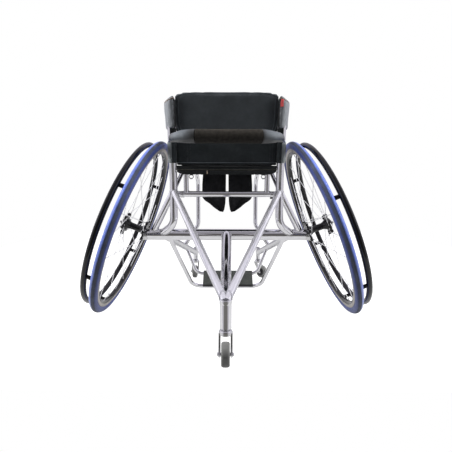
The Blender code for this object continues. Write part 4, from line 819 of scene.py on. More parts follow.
def frame_tubes():
    paths = frame_paths()
    for key, (path, radius, node, *mates) in paths.items():
        shape = Shape().add(swept(path, radius, 48 if key == "camber" else TUBE_SIDES))
        if key == "seat":
            cross = paths["cross"][0]
            for side in SIDES.values():
                low = at(side * SEAT_STRUT_SPREAD, SEAT_BACK, SEAT_TUBE_HEIGHT)
                high = at(side * SEAT_STRUT_SPREAD, POST_Y, CROSS_HEIGHT)
                shape.add(swept([low, high], SEAT_STRUT_RADIUS))
                weld(shape, low, high, SEAT_STRUT_RADIUS, path[0], path[1] - path[0], radius)
                weld(shape, high, low, SEAT_STRUT_RADIUS, cross[0], cross[1] - cross[0], CROSS_RADIUS)
        root = radius[0] - 0.0012 if isinstance(radius, list) else radius
        for mate, end, ahead in zip(mates, (path[0], path[-1]), (path[1], path[-2])):
            if mate in paths:
                start, stop = nearest_run(paths[mate][0], end)
                weld(shape, end, ahead, root, start, stop - start, paths[mate][1])
            elif mate:
                weld(shape, end, ahead, root, STEMS[mate], up_by(1), HOUSING_RADIUS[mate])
        if key.startswith("post"):
            shape.add(dome(POST_RADIUS - 0.0006, 0.004, -0.001), 2, facing(path[-1], path[-1] - path[-2]))
        skin = {"strut": STRUT_SATIN, "arm": ARM_POLISH}.get(key.split("_")[0], CHROME)
        shape.build(f"tube_{key}", [skin, BEAD, BLACK_PLASTIC], "frame", "frame_chrome", [node])


# Casters

def housing(name, node, label):
    """The stem's sleeve: a bright end ring above, a bearing cover below."""
    low, bore = CROWN_TOP + 0.0005, 0.007
    outer, top = HOUSING_RADIUS[label], HOUSING_TOP[label]
    slim = outer - 0.0006
    profile = [(bore, low), (outer - 0.0022, low), (outer - 0.0004, low + 0.0035), (slim, low + 0.0045),
               (slim, low + 0.0052), (slim, top - 0.0117), (slim, top - 0.011), (outer, top - 0.01),
               (outer, top - 0.0014), (outer - 0.0012, top), (bore, top)]
    Shape().ring(profile, 48, [1] * 2 + [0] * 9).build(
        name, [CHROME, STEEL], "frame", "frame_chrome", [node], Matrix.Translation(STEMS[label]))


def leg_outline():
    half, lower = 0.0095, 0.0072
    foot = [radians(-15 * index) for index in range(13)]
    return [(half, CROWN_TOP - 0.0065), (half, CROWN_TOP - 0.012),
            *[(lower * cos(angle) - CASTER_TRAIL, CASTER_RADIUS + lower * sin(angle)) for angle in foot],
            (-half, CROWN_TOP - 0.012), (-half, CROWN_TOP - 0.0065)]


def fork(label):
    """A polished fork: round crown, two blades, wheel bolt with round heads, stem and top nut."""
    matrix = Matrix.Translation(STEMS[label]) @ Matrix.Rotation(radians(CASTER_TURN[label]), 4, "Z")
    edge = 0.0052
    crown = [(FORK_HALF - 0.0012, CROWN_FOOT), (FORK_HALF, CROWN_FOOT + 0.0012), (FORK_HALF, CROWN_TOP - 0.006)]
    crown += [(FORK_HALF - edge + edge * cos(angle), CROWN_TOP - edge + edge * sin(angle))
              for angle in [radians(18 * index) for index in range(6)]]
    shape = Shape().add(turned(crown, 48))
    for low in (-FORK_HALF - 0.0006, CASTER_HALF + FORK_GAP - 0.0005):
        shape.add(prism(leg_outline(), low, low + LEG_THICK + 0.0011, 0.0009))
    cap = HOUSING_TOP[label] + 0.0004
    shape.add(turned([(0.006, CROWN_TOP - 0.004), (0.006, cap + 0.0001)], 24), 1)
    if label == "rear":
        shape.add(turned([(0.0112, cap), (0.0112, cap + 0.0006), (0.009, cap + 0.0014)], 32), 1)
    else:
        shape.add(turned([(0.0095, cap), (0.0096, cap + 0.001), (0.0085, cap + 0.0024)], 32), 1)
        shape.add(hexagon(0.0078, cap + 0.0022, cap + 0.0058), 1)
    shape.add(turned([(0.0085, CROWN_TOP - 0.0002), (0.0085, CROWN_TOP + 0.0004)], 32), 1)
    head = turned([(0.0046, 0), (0.0046, 0.003), (0.004, 0.0038), (0.0026, 0.0038), (0.0024, 0.0022)], 24)
    for side in SIDES.values():
        spot = Vector((side * (FORK_HALF - 0.0004), -CASTER_TRAIL, CASTER_RADIUS))
        shape.add(head, 1, facing(spot, (side, 0, 0)))
    axle = facing(Vector((-FORK_HALF, -CASTER_TRAIL, CASTER_RADIUS)), (1, 0, 0))
    shape.add(turned([(0.004, 0), (0.004, FORK_HALF * 2)], 24), 1, axle)
    shape.build(f"fork_{label}", [ALUMINIUM, STEEL], f"caster_fork_{label}", "plain_aluminium",
                [f"caster_{label}_fork"], matrix)
    return matrix


def caster_wheel(label, fork_matrix):
    half, radius = CASTER_HALF, CASTER_RADIUS
    side = [(0.0045, half), (0.0074, half), (0.0076, half * 0.72), (radius * 0.58, half * 0.6),
            (radius * 0.66, half * 0.66), (radius * 0.68, half * 0.9), (radius * 0.84, half * 0.97)]
    side += [(radius * 0.84 + radius * 0.16 * cos(angle), half * (0.3 + 0.67 * sin(angle)))
             for angle in [radians(80 - 10 * index) for index in range(8)]]
    profile = mirrored(side + [(radius, half * 0.16)])
    kinds = []
    for index in range(len(profile)):
        step = min(index, len(profile) - 2 - index)
        kinds.append(2 if step <= 0 else 1 if step < 5 else 0)
    matrix = (fork_matrix @ Matrix.Translation((0, -CASTER_TRAIL, CASTER_RADIUS))
              @ Matrix.Rotation(pi / 2, 4, "Y"))
    Shape().ring(profile, 64, kinds).build(
        f"roller_{label}", [CASTER_RUBBER, BLACK_PLASTIC, STEEL], f"caster_wheel_{label}", "caster_rubber",
        [f"caster_{label}_wheel"], matrix)


def casters():
    for label in STEMS:
        caster_wheel(label, fork(label))
        if label == "rear":
            housing("rear_barrel", "anti_tip_barrel", label)
        else:
            housing(f"front_barrel_{label}", f"caster_housing_{label}", label)


# Foot plate and small fittings

def foot_plate():
    """A turned-down plate with a ribbed rubber mat on it."""
    rear, front = Vector(LOOP_BENDS[1:]), Vector(FOOT_BAR_BENDS[1:])
    along = (front - rear).normalized()
    up = Vector((-along.y, along.x))
    rear, front = rear + up * (LOOP_RADIUS + 0.0003), front + up * (FOOT_BAR_RADIUS + 0.0003)
    along = (front - rear).normalized()
    up = Vector((-along.y, along.x))

    def spot(run, rise):
        point = rear + along * run + up * rise
        return point.x + AXLE_Y, point.y

    near, far = -PLATE_OVERHANG, (front - rear).length + PLATE_OVERHANG
    top, edge, soft = PLATE_THICK - 0.0008, 0.001, 0.0003
    outline = [spot(*point) for point in (
        (near, -PLATE_LIP), (near, top - edge), (near + soft, top - soft), (near + edge, top), (far - edge, top),
        (far - soft, top - soft), (far, top - edge), (far, -PLATE_LIP), (far - PLATE_THICK, -PLATE_LIP),
        (far - PLATE_THICK, 0.0001), (near + PLATE_THICK, 0.0001), (near + PLATE_THICK, -PLATE_LIP))]
    shape = Shape().add(prism(outline, PLATE_MIDDLE - PLATE_HALF, PLATE_MIDDLE + PLATE_HALF, 0.0004))
    mat = [spot(near + MAT_BORDER, top)]
    pitch = (far - near - 2 * MAT_BORDER) / MAT_RIBS
    for index in range(MAT_RIBS):
        mat += [spot(near + MAT_BORDER + pitch * (index + share), top + rise) for share, rise in (
            (0.1, 0.0014), (0.6, 0.0014), (0.7, 0.0007), (1, 0.0007))]
    mat.append(spot(far - MAT_BORDER, top))
    shape.add(prism(mat, PLATE_MIDDLE - PLATE_HALF + MAT_BORDER, PLATE_MIDDLE + PLATE_HALF - MAT_BORDER), 1)
    back_edge, front_edge = spot(near, 0)[0], spot(far, 0)[0]
    for vert in shape.verts:
        share = (vert.y - back_edge) / (front_edge - back_edge)
        vert.x += (vert.x - PLATE_MIDDLE) / PLATE_HALF * PLATE_WIDENING * share
    shape.build("foot_tread", [BLACK_PLASTIC, FOOT_GRIP], "frame", "foot_grip", ["foot_plate"], sharp=25.0)


def fittings():
    """Bands on the cross tube, and the rings that hang on short loops under the seat's rear tube."""
    bands = Shape()
    for x, half, reach, lower, finish in ((-0.1461, 0.006, 0.0012, 0.001, 1), (0.149, 0.0058, 0.001, 0.0012, 1),
                                          (0.15, 0.0062, -0.0035, 0.01, 0)):
        spot = at(x, POST_Y, CROSS_HEIGHT - lower)
        path = [spot + Vector((step * half, 0, 0)) for step in (-1.0, -0.85, 0.85, 1.0)]
        wide = CROSS_RADIUS + reach
        bands.add(swept(path, [wide - 0.0008, wide, wide, wide - 0.0008], 28), finish)
    bands.build("cross_tube_bands", [BLACK_PLASTIC, ALUMINIUM], "frame", "frame_chrome")
    rings = Shape()
    for x in (-0.1155, 0.1202):
        centre = at(x, SEAT_BACK - 0.002, 0.4545)
        circle = [centre + Vector((cos(angle) * 0.0068, 0.0008 * sin(angle * 2), sin(angle) * 0.006))
                  for angle in turns(28)]
        rings.add(swept(circle, 0.0014, 12, loop=True), 1)
        strap = [centre + up_by(0.0045), centre + up_by(0.012), centre + Vector((0, 0.001, 0.017))]
        rings.add(swept(strap, 0.0055, 16, flat=0.24), 0)
        weight = [centre + Vector((step * 0.0046, 0, -0.006)) for step in (-1, -0.7, 0.7, 1)]
        rings.add(swept(weight, [0.0012, 0.002, 0.002, 0.0012], 12), 1)
    rings.build("seat_rings", [CLOTH_FLAP, STEEL], "frame", "bearing_steel")


# Soft goods

def panel_form(columns, rows, spot):
    """A closed pad. spot gives a point for shares across (-1 to 1), up (0 to 1) and depth (-1 to 1)."""
    verts = [spot(2 * column / columns - 1, row / rows, depth)
             for depth in (-1, 1) for row in range(rows + 1) for column in range(columns + 1)]
    wide = columns + 1
    layer = wide * (rows + 1)
    faces = []
    for row in range(rows):
        for column in range(columns):
            corner = row * wide + column
            quad = (corner, corner + 1, corner + wide + 1, corner + wide)
            faces += [quad, tuple(layer + index for index in reversed(quad))]
    rim = list(range(wide)) + [row * wide + columns for row in range(1, rows + 1)]
    rim += [rows * wide + column for column in range(columns - 1, -1, -1)]
    rim += [row * wide for row in range(rows - 1, 0, -1)]
    faces += [(here, layer + here, layer + there, there) for here, there in zip(rim, rim[1:] + rim[:1])]
    return verts, faces


def applied(piece):
    """Works a piece's modifiers into its mesh."""
    bpy.context.view_layer.update()
    worked = piece.evaluated_get(bpy.context.evaluated_depsgraph_get())
    made = bpy.data.meshes.new_from_object(worked)
    piece.modifiers.clear()
    piece.data = made


def extent(points):
    return [Vector(pick(point[axis] for point in points) for axis in range(3)) for pick in (min, max)]


def stuffed(name, form, finish, cap, voxel):
    """A pad blown up like filled cloth, no further than cap from its cut shape and of the same size."""
    piece = linked(name, meshed(name, *form))
    remesh = piece.modifiers.new("even", "REMESH")
    remesh.mode = "VOXEL"
    remesh.voxel_size = voxel
    applied(piece)
    cut = [vert.co.copy() for vert in piece.data.vertices]
    filling = piece.modifiers.new("filling", "CLOTH")
    filling.settings.use_pressure = True
    filling.settings.uniform_pressure_force = PAD_PRESSURE
    filling.settings.effector_weights.gravity = 0.0
    filling.settings.quality = 6
    filling.settings.tension_stiffness = 30
    filling.point_cache.frame_start = 1
    filling.point_cache.frame_end = PAD_FRAMES
    for moment in range(1, PAD_FRAMES + 1):
        bpy.context.scene.frame_set(moment)
    applied(piece)
    bpy.context.scene.frame_set(1)
    for vert, start in zip(piece.data.vertices, cut):
        moved = vert.co - start
        if moved.length > cap:
            vert.co = start + moved.normalized() * cap
    smooth = piece.modifiers.new("soften", "SMOOTH")
    smooth.factor = 0.5
    smooth.iterations = 2
    finer = piece.modifiers.new("finer", "SUBSURF")
    finer.levels = finer.render_levels = 1
    applied(piece)
    low, high = extent(form[0])
    now_low, now_high = extent([vert.co for vert in piece.data.vertices])
    for vert in piece.data.vertices:
        for axis in range(3):
            share = (vert.co[axis] - now_low[axis]) / (now_high[axis] - now_low[axis])
            vert.co[axis] = low[axis] + (high[axis] - low[axis]) * share
    piece.data.materials.clear()
    piece.data.materials.append(finish)
    piece.data.shade_smooth()
    return piece


def settle(piece, node):
    """Fixes a pad to the frame in place of its CAD node, and gives the tree that finds points on it."""
    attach(piece, "frame")
    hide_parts(node)
    verts = [piece.matrix_world @ vert.co for vert in piece.data.vertices]
    return BVHTree.FromPolygons(verts, [tuple(face.vertices) for face in piece.data.polygons])


def laid_on(tree, spots, lift, way=1):
    """Points (x, z) carried onto a pad's rear face, or with way -1 its front face."""
    path = []
    for x, z in spots:
        hit = tree.ray_cast(Vector((x, -way, z)), Vector((0, way, 0)))[0]
        if hit:
            path.append(hit - Vector((0, way * lift, 0)))
    return path


def seam(shape, tree, spots, lift, radius, finish, way=1, sides=8):
    """A cord along points (x, z) of a pad."""
    path = laid_on(tree, spots, lift, way)
    if len(path) > 2:
        shape.add(swept(path, radius, sides), finish)
    return path


def line_between(points, steps):
    spots = []
    for (x0, z0), (x1, z1) in zip(points, points[1:]):
        for share in [index / steps for index in range(steps)]:
            spots.append((x0 + (x1 - x0) * share, z0 + (z1 - z0) * share))
    return spots + [points[-1]]


def dense(path, step=0.0012):
    """The same path with points at an even small distance."""
    points = path[:1]
    for before, point in zip(path, path[1:]):
        count = max(1, round((point - before).length / step))
        points += [before.lerp(point, (index + 1) / count) for index in range(count)]
    return points


def stitches(shape, path, finish, aside=(0, 0, 0), length=0.003, gap=0.002, radius=0.0004):
    """Short thread stitches beside a path."""
    walked, drawn = 0.0, []
    path = dense([point + Vector(aside) for point in path])
    for before, point in zip(path, path[1:]):
        walked += (point - before).length
        if walked % (length + gap) < length:
            drawn.append(point)
            continue
        if len(drawn) > 1:
            shape.add(swept(drawn, radius, 5), finish)
        drawn = []


def puff(across, up, share, power=6):
    """How full a pad is at a spot: full in its middle, and a share of that at its edges."""
    return share + (1 - share) * max(0.0, (1 - abs(across) ** power) * (1 - abs(2 * up - 1) ** power))


def wrinkled(path, radii, sides, dent):
    """A swept skin that dent pushes out at each point, from the point and its way out."""
    verts, faces = swept(path, radii, sides)
    for index, vert in enumerate(verts):
        out = (vert - path[index // sides]).normalized()
        verts[index] = vert + out * dent(vert, out)
    return verts, faces


def creased(vert, *layers):
    return sum(noise.noise(vert * scale) * depth for scale, depth in layers)


def back_outline(across, up, inset=0.0, corner_size=BACK_CORNER):
    shoulder = BACK_TOP + BACK_RISE * across ** 2 - BACK_FALL * across ** 6 - inset
    height = BACK_BOTTOM + inset + (shoulder - BACK_BOTTOM - inset) * up
    corner = max(0.0, 1 - (height - BACK_BOTTOM) / corner_size[0])
    return across * (BACK_HALF - inset - corner_size[1] * (1 - sqrt(1 - corner ** 2))), height


def back_panel():
    """The upper back: a thin pad with a piped edge, a second seam inside it and a bound top."""
    def spot(across, up, depth):
        x, height = back_outline(across, up)
        bulge = BACK_BULGE * (1 - (x / BACK_HALF) ** 2)
        return at(x, on_post(height) - bulge + depth * (BACK_THICK / 2 - 0.001) * puff(across, up, 0.75), height)

    panel = stuffed("back_pad", panel_form(56, 20, spot), CLOTH, 0.003, 0.0045)
    tree = settle(panel, "back_panel")
    sewing = Shape()
    shares = [step / 24 for step in range(-24, 25)]
    for way in (1, -1):
        for inset, radius in ((0.0018, 0.0015), (0.0105, 0.0007)):
            for side in (-1, 1):
                edge = [back_outline(side, index / 40, inset, SEAM_CORNER) for index in range(41)]
                seam(sewing, tree, edge, radius * 0.3, radius, 0, way, 10)
        seam(sewing, tree, [back_outline(share, 1.0, 0.0026) for share in shares], 0.0002, 0.0011, 0, way, 10)
        for up, inset in ((1.0, 0.011), (0.0, 0.009)):
            line = [back_outline(share * 0.93, up, inset) for share in shares]
            stitches(sewing, laid_on(tree, line, 0.0001, way), 1)
    sewing.build("back_pad_piping", [PIPING, THREAD], "frame", "cloth")


def wing(hand, side):
    """A padded vinyl sleeve round the top of an upright. Its faces that look in towards the back get dark cloth,
    which also paints shade on the inner corner where the wing meets the back.
    """
    width = WING_OUTER - WING_INNER
    rows = 22
    half = line_between(WING_SECTION, 6)
    ring = [(x, -y) for x, y in half] + half[-2:0:-1]
    verts = []
    for up in [row / rows for row in range(rows + 1)]:
        level = WING_BOTTOM + (WING_TOP - WING_BOTTOM) * up
        full = 1.0 - 0.06 * (max(0.0, abs(2 * up - 1) - 0.9) / 0.1) ** 2
        for x, y in ring:
            height = level - WING_SLOPE * up * x + WING_PEAK * max(0.0, 1 - x / 0.3) * up ** 4
            centre = on_post(height) + (WING_FORWARD - WING_BACKWARD) / 2
            reach = WING_INNER + (width - WING_TAPER * (1 - up)) * x * full
            depth = y * ((WING_FORWARD + WING_BACKWARD) / 2 - 0.001) * full
            verts.append(at(side * reach, centre + depth, height))
    form = verts, grid_faces(rows + 1, len(ring), caps=True)
    pad = stuffed(f"wing_pad_{hand}", form, VINYL_PAINTED_SHEEN, 0.002, 0.0042)
    for vert in pad.data.vertices:
        vert.co += vert.normal * creased(vert.co, (38.0, 0.0007), (90.0, 0.0003))
    pad.data.materials.append(SEAT_CLOTH)
    # Faces that look in towards the back get the dark cloth: a cloth lining, and painted shade on the wing's inner
    # corner.
    for face in pad.data.polygons:
        face.material_index = int(side * face.normal.x < -0.55)
    tree = settle(pad, f"back_wing_{hand}")
    sewing = Shape()
    # The brown cord along the top edge paints the edge's highlight.
    top_edge = [(side * (WING_INNER + 0.002 + (width - 0.006) * share), WING_TOP - 0.0026 - WING_SLOPE * share)
                for share in [index / 16 for index in range(17)]]
    seam(sewing, tree, top_edge, 0.0002, 0.0013, 3)
    seam_x = side * (WING_INNER + 0.0035)
    line = line_between([(seam_x, WING_BOTTOM + 0.006), (seam_x, WING_TOP - 0.012)], 24)
    for way in (1, -1):
        path = seam(sewing, tree, line, 0.0002, 0.0006, 0, way)
        stitches(sewing, path, 4, (side * 0.003, 0, 0))
    if hand == "right":
        def tag_spot(across, up, depth):
            x, z = TAG_CORNER[0] + TAG_SIZE[0] * (across + 1) / 2, TAG_CORNER[1] + TAG_SIZE[1] * up
            hit = tree.ray_cast(Vector((x, -1, z)), Vector((0, 1, 0)))[0]
            return Vector((x, hit.y - 0.0008 - 0.0004 * depth, z))

        sewing.add(panel_form(4, 8, tag_spot), 2)
        below = line_between([(0.1664, 0.6435), (0.1662, 0.665)], 12)
        stitches(sewing, laid_on(tree, below, 0.0003), 1, length=0.0035, gap=0.0015, radius=0.0006)
    sewing.build(f"wing_pad_seams_{hand}", [VINYL_PAINTED_SHEEN, WHITE_THREAD, RED_TAG, BROWN_PAINTED_HIGHLIGHT, THREAD], "frame", "vinyl")


def bar_pad():
    """The padded bar: wrinkled vinyl sleeves at its ends and a foam middle between them."""
    limit = at(0, on_post(BAR_HEIGHT) - POST_RADIUS - 0.005, 0).y
    parts = {"foam": [], "left": [], "right": []}
    for point in [point for point in dense(bar_path(), 0.0022) if point.y < limit]:
        share = min(1.0, max(0.0, (BAR_SWELL[0] - abs(point.x)) / (BAR_SWELL[0] - BAR_SWELL[1])))
        radius = BAR_END_RADIUS + (BAR_MIDDLE_RADIUS - BAR_END_RADIUS) * share * (2 - share)
        if FOAM_SPAN[0] - 0.003 < point.x < FOAM_SPAN[1] + 0.003:
            parts["foam"].append((point, radius - 0.0006))
        if not FOAM_SPAN[0] < point.x < FOAM_SPAN[1]:
            parts["left" if point.x < 0 else "right"].append((point, radius))
    for key, run in parts.items():
        foam = key == "foam"
        last = len(run) - 1
        radii = []
        for index, (_, radius) in enumerate(run):
            free = {"left": index, "right": last - index, "foam": last}[key]
            lap = 0.0003 * (free == last and not foam)
            radii.append(radius * (0.8 + 0.2 * min(1.0, free / 4) ** 0.5) - lap)
        layers = [(60.0, 0.0006)] if foam else [(32.0, 0.001), (75.0, 0.0003)]
        form = wrinkled([point for point, _ in run], radii, 48, lambda vert, _: creased(vert, *layers))
        piece = single("bar_foam" if foam else f"bar_sleeve_{key}", form, FOAM if foam else BAR_VINYL_PAINTED_SHEEN,
                       "foam_grip" if foam else "vinyl", ["back_bar_pad"])


def post_sleeve(hand, side):
    """The vinyl sleeve of the lower back round an upright, with cloth on its inner side. The outer vinyl half is
    light grey: a painted sheen.
    """
    steps, sides = 26, 40
    run = [post_spot(side, SLEEVE_SPAN[0] + (SLEEVE_SPAN[1] - SLEEVE_SPAN[0]) * index / steps)
           for index in range(steps + 1)]
    radii = [SLEEVE_RADIUS - 0.0003 - 0.0011 * max(0.0, 1 - min(index, steps - index) / 2)
             for index in range(steps + 1)]
    verts, faces = wrinkled(run, radii, sides, lambda vert, out: (
        creased(vert, (55.0, 0.001)) + 0.0003 * sin(vert.z * 900 + out.x * 3)))
    # Outer half in the light sleeve vinyl, whose grey is a painted sheen; inner half in cloth.
    finish = []
    for face in faces:
        middle = sum((verts[index] for index in face), Vector()) / len(face)
        finish.append(int(side * (middle.x - side * POST_SPREAD) < -0.001))
    sleeve = Shape().add((verts, faces), finish).build(
        f"post_sleeve_{hand}", [SLEEVE_VINYL_PAINTED_SHEEN, LOWER_CLOTH], "frame", "vinyl", sharp=60.0)


def post_tuck(hand, side):
    """A strip of cloth round the inner half of an upright, between the upper back and the bar."""
    def spot(across, up, depth):
        turn = radians(48 + 62 * across)
        reach = POST_RADIUS + 0.0014 + depth * 0.0009
        height = TUCK_SPAN[0] + (TUCK_SPAN[1] - TUCK_SPAN[0]) * up
        return at(side * (POST_SPREAD - reach * sin(turn)), on_post(height) - reach * cos(turn), height)

    single(f"post_tuck_{hand}", panel_form(18, 8, spot), SEAT_CLOTH, "cloth")


def lower_panel():
    """The lower back between its sleeves, with upright seams and a piped lower hem."""
    def spot(across, up, depth):
        drop = LOWER_DROP * across ** 4
        bottom, top = LOWER_BOTTOM + drop, LOWER_TOP - drop
        height = bottom + (top - bottom) * up
        bulge = LOWER_BULGE * (1 - across ** 2)
        thick = (LOWER_THICK / 2 - 0.0008) * puff(across, up, 0.8)
        sag = 0.0012 * sin(up * 9 + across * 5) * (1 - across ** 2)
        return at(across * (POST_SPREAD - POST_RADIUS - 0.0006), on_post(height) - bulge + depth * thick + sag,
                  height)

    panel = stuffed("lower_back_cloth", panel_form(60, 14, spot), LOWER_CLOTH, 0.0018, 0.0045)
    tree = settle(panel, "lower_back_panel")
    sewing = Shape()
    for way in (1, -1):
        for x in LOWER_SEAMS:
            line = line_between([(x, LOWER_BOTTOM + 0.006), (x, LOWER_TOP - 0.006)], 16)
            stitches(sewing, seam(sewing, tree, line, 0.0001, 0.0007, 0, way), 2, (0.0022, 0, 0))
        hem = [(0.16 * share, LOWER_BOTTOM + LOWER_DROP * share ** 4 + 0.007)
               for share in [step / 30 for step in range(-30, 31)]]
        seam(sewing, tree, hem, 0.0003, 0.0011, 1, way)
    sewing.build("lower_back_piping", [LOWER_CLOTH, PIPING, THREAD], "frame", "cloth")
    for hand, side in SIDES.items():
        post_sleeve(hand, side)
        post_tuck(hand, side)


def rail_line(reach):
    spot = rail_spot(1, reach)
    return spot.x, spot.z


def sling_height(x, reach, level):
    half, middle = rail_line(reach)
    ramp = min(1.0, max(0.0, (reach - SEAT_BACK - RAIL_RADIUS) / SLING_SAG_REACH))
    return middle + BEND_RADIUS + level - SLING_SAG * ramp * max(0.0, 1 - (x / half) ** 2)


def sling():
    """The seat cloth: stretched over the rails, with an apron that falls over the rear seat tube."""
    rear = SEAT_BACK - RAIL_RADIUS - 0.0003 - SLING_THICK
    notch = SEAT_BACK + POST_RADIUS + 0.0012
    apron_bottom = SEAT_TUBE_HEIGHT - APRON_DROP
    rows, fold_rows, fall, fold, flat = 34, 9, 0.6, 0.005, 0.8

    def spot(across, up, depth):
        level = SLING_THICK * (0.5 - 0.5 * depth) * 0.9
        row = round(up * rows)
        x = across * SLING_REAR_HALF
        if row <= fold_rows:
            share = row / fold_rows
            top = sling_height(x, notch, 0) - fold
            corner = max(0.0, (abs(x) - APRON_CORNER[0]) / (SLING_REAR_HALF - APRON_CORNER[0]))
            bottom = apron_bottom + APRON_CORNER[1] * (1 - sqrt(max(0.0, 1 - corner ** 2)))
            if share < fall:
                free = 1 - share / fall
                z = bottom + 0.0008 * sin(x * 420 + 1.0) * free + (top - bottom) * share / fall
                return at(x, rear + SLING_THICK - level + 0.0007 * sin(x * 160) * free, z)
            turn = pi / 2 * (share - fall) / (1 - fall)
            return at(x, rear + SLING_THICK + fold - (fold + level) * cos(turn), top + (fold + level) * sin(turn))
        reach = rear + 0.008 + (SLING_FRONT - rear - 0.008) * (row - fold_rows) / (rows - fold_rows)
        if reach < notch:
            return at(x, reach, sling_height(x, notch, level))
        here, middle = rail_line(reach)
        if abs(across) <= flat:
            x = across / flat * here
            return at(x, reach, sling_height(x, reach, level) + 0.0006 * sin(reach * 190) * cos(x * 9))
        share = (abs(across) - flat) / (1 - flat) * min(1.0, (reach - notch) / 0.009)
        turn, radius = radians(WRAP_ANGLE * share), BEND_RADIUS + level
        return at(copysign(here + radius * sin(turn), across), reach, middle + radius * cos(turn))

    piece = single("seat_cloth", panel_form(60, rows, spot), SEAT_CLOTH, "cloth", ["seat_sling"], 50.0)
    outer = rear + SLING_THICK * 0.05
    hem = [at(SLING_REAR_HALF * step / 40 * 0.985, outer - 0.0004, apron_bottom + 0.0155)
           for step in range(-40, 41)]
    trim = Shape().add(swept(hem, 0.0019, 10, flat=0.5))
    for lift in (0.0028, -0.0052):
        stitches(trim, hem, 1, (0, 0.0002, lift))
    trim.build("apron_trim", [APRON_EDGE, THREAD], "frame", "cloth")
    mount = at(-0.0632, outer - 0.0016, 0.4735)
    pull = Shape().add(turned([(0.0022, -0.001), (0.0024, 0), (0.0022, 0.001)], 20), 1, facing(mount, (0, -1, 0)))
    tongue = [mount, mount + Vector((0.0003, -0.0006, -0.004)), mount + Vector((0.0003, -0.0002, -0.0105))]
    pull.add(swept(tongue, [0.0012, 0.0022, 0.0021], 14, flat=0.45))
    pull.build("zip_pull", [BEIGE, STEEL], "frame", "bearing_steel")


def cushion():
    """The seat cushion: crowned, drawn in at its sides, with two sewn channels."""
    rear, front = SEAT_BACK + POST_RADIUS + 0.01, SLING_FRONT + 0.01
    channels = (-1 / 3, 1 / 3)

    def spot(across, up, depth):
        reach = rear + 0.002 + (front - rear - 0.004) * up
        half = rail_line(reach)[0] - 0.004 - 0.005 * (max(0.0, abs(2 * up - 1) - 0.8) / 0.2) ** 2
        if depth > 0:
            x = across * (half - 0.004)
            return at(x, reach + 0.003 * (1 - 2 * up), sling_height(x, reach, SLING_THICK) + 0.0018)
        x = across * half
        edge = puff(across, up, 0.0, 8)
        crown = 0.008 * (1 - across ** 2) * (1 - (2 * up - 1) ** 2)
        dip = 0.0045 * edge * sum(exp(-((across - channel) / 0.018) ** 2) for channel in channels)
        thick = 0.038 * (0.6 + 0.4 * edge) - 0.002
        return at(x, reach, sling_height(x, reach, SLING_THICK) + thick + crown - dip)

    pad = stuffed("seat_pad", panel_form(54, 44, spot), SEAT_CLOTH, 0.006, 0.005)
    tree = settle(pad, "seat_cushion")
    sewing = Shape()
    for share in channels:
        path = []
        for index in range(41):
            reach = rear + 0.012 + (front - rear - 0.024) * index / 40
            above = at(share * (rail_line(reach)[0] - 0.006), reach, 1.0)
            path.append(tree.ray_cast(above, up_by(-1))[0] + up_by(0.0002))
        stitches(sewing, path, 0)
    sewing.build("seat_pad_stitching", [THREAD], "frame", "cloth")


def edge_at(outline, height):
    for (low_x, low), (high_x, high) in zip(outline, outline[1:]):
        if height <= high:
            return low_x + (high_x - low_x) * (height - low) / (high - low)
    return outline[-1][0]


def flap(hand, side):
    """The long tail of a seat strap, hanging in soft folds to a rounded, slanted tip."""
    tip = FLAP_OUTER[0][1]

    def spot(across, up, depth):
        share = (across + 1) / 2
        top_x = FLAP_INNER[-1][0] + (FLAP_OUTER[-1][0] - FLAP_INNER[-1][0]) * share
        top = sling_height(top_x, FLAP_REACH, 0.0) - 0.0004
        height = tip + (top - tip) * up ** 1.6
        inner, outer = edge_at(FLAP_INNER, height), edge_at(FLAP_OUTER, height)
        fold = 0.004 * (1 - up) * sin(across * 4.0 + 1.0)
        crease = 0.0012 * sin(height * 120 + across * 3 + side) * (1 - up)
        return at(side * (inner + (outer - inner) * share) + FLAP_SHIFT,
                  FLAP_REACH + fold + crease + depth * FLAP_THICK / 2, height)

    piece = single(f"strap_tail_{hand}", panel_form(24, 40, spot), CLOTH_FLAP, "cloth", [f"seat_flap_{hand}"], 50.0)
    hem = Shape()
    for depth in (-1, 1):
        border, row = [[spot(inset, index / 30, depth) + Vector((0, depth * 0.0002, 0)) for index in range(2, 30)]
                       for inset in (0.9, 0.78)]
        hem.add(swept(border, 0.0006, 6))
        stitches(hem, row, 1)
    hem.build(f"strap_tail_hem_{hand}", [CLOTH_FLAP, THREAD], "frame", "cloth")


wheels()
frame_tubes()
casters()
foot_plate()
fittings()
back_panel()
for which, way in SIDES.items():
    wing(which, way)
bar_pad()
lower_panel()
sling()
cushion()
for which, way in SIDES.items():
    flap(which, way)


# Floor, light and camera

def floor():
    """A pale floor under the chair. It meets the white surroundings without an edge."""
    made, tree, shader = graph("pale_floor")
    path = add_node(tree, "LightPath")
    mirrored_glow = sums(tree, "MULTIPLY", path.outputs["Is Glossy Ray"], 0.36)
    wire(tree, shader, Base_Color=(0.22, 0.22, 0.22, 1.0), Roughness=0.7, Emission_Color=(1.0, 1.0, 1.0, 1.0),
         Emission_Strength=sums(tree, "MAXIMUM", path.outputs["Is Camera Ray"], mirrored_glow))
    corners = [(x, y, -0.0006) for x, y in ((-1.6, -0.56), (1.6, -0.56), (1.6, 2.4), (-1.6, 2.4))]
    mesh = bpy.data.meshes.new("floor")
    mesh.from_pydata(corners, [], [(0, 1, 2, 3)])
    mesh.materials.append(made)
    linked("floor", mesh)


def grey(value, blue=0.0):
    return value, value, value + blue


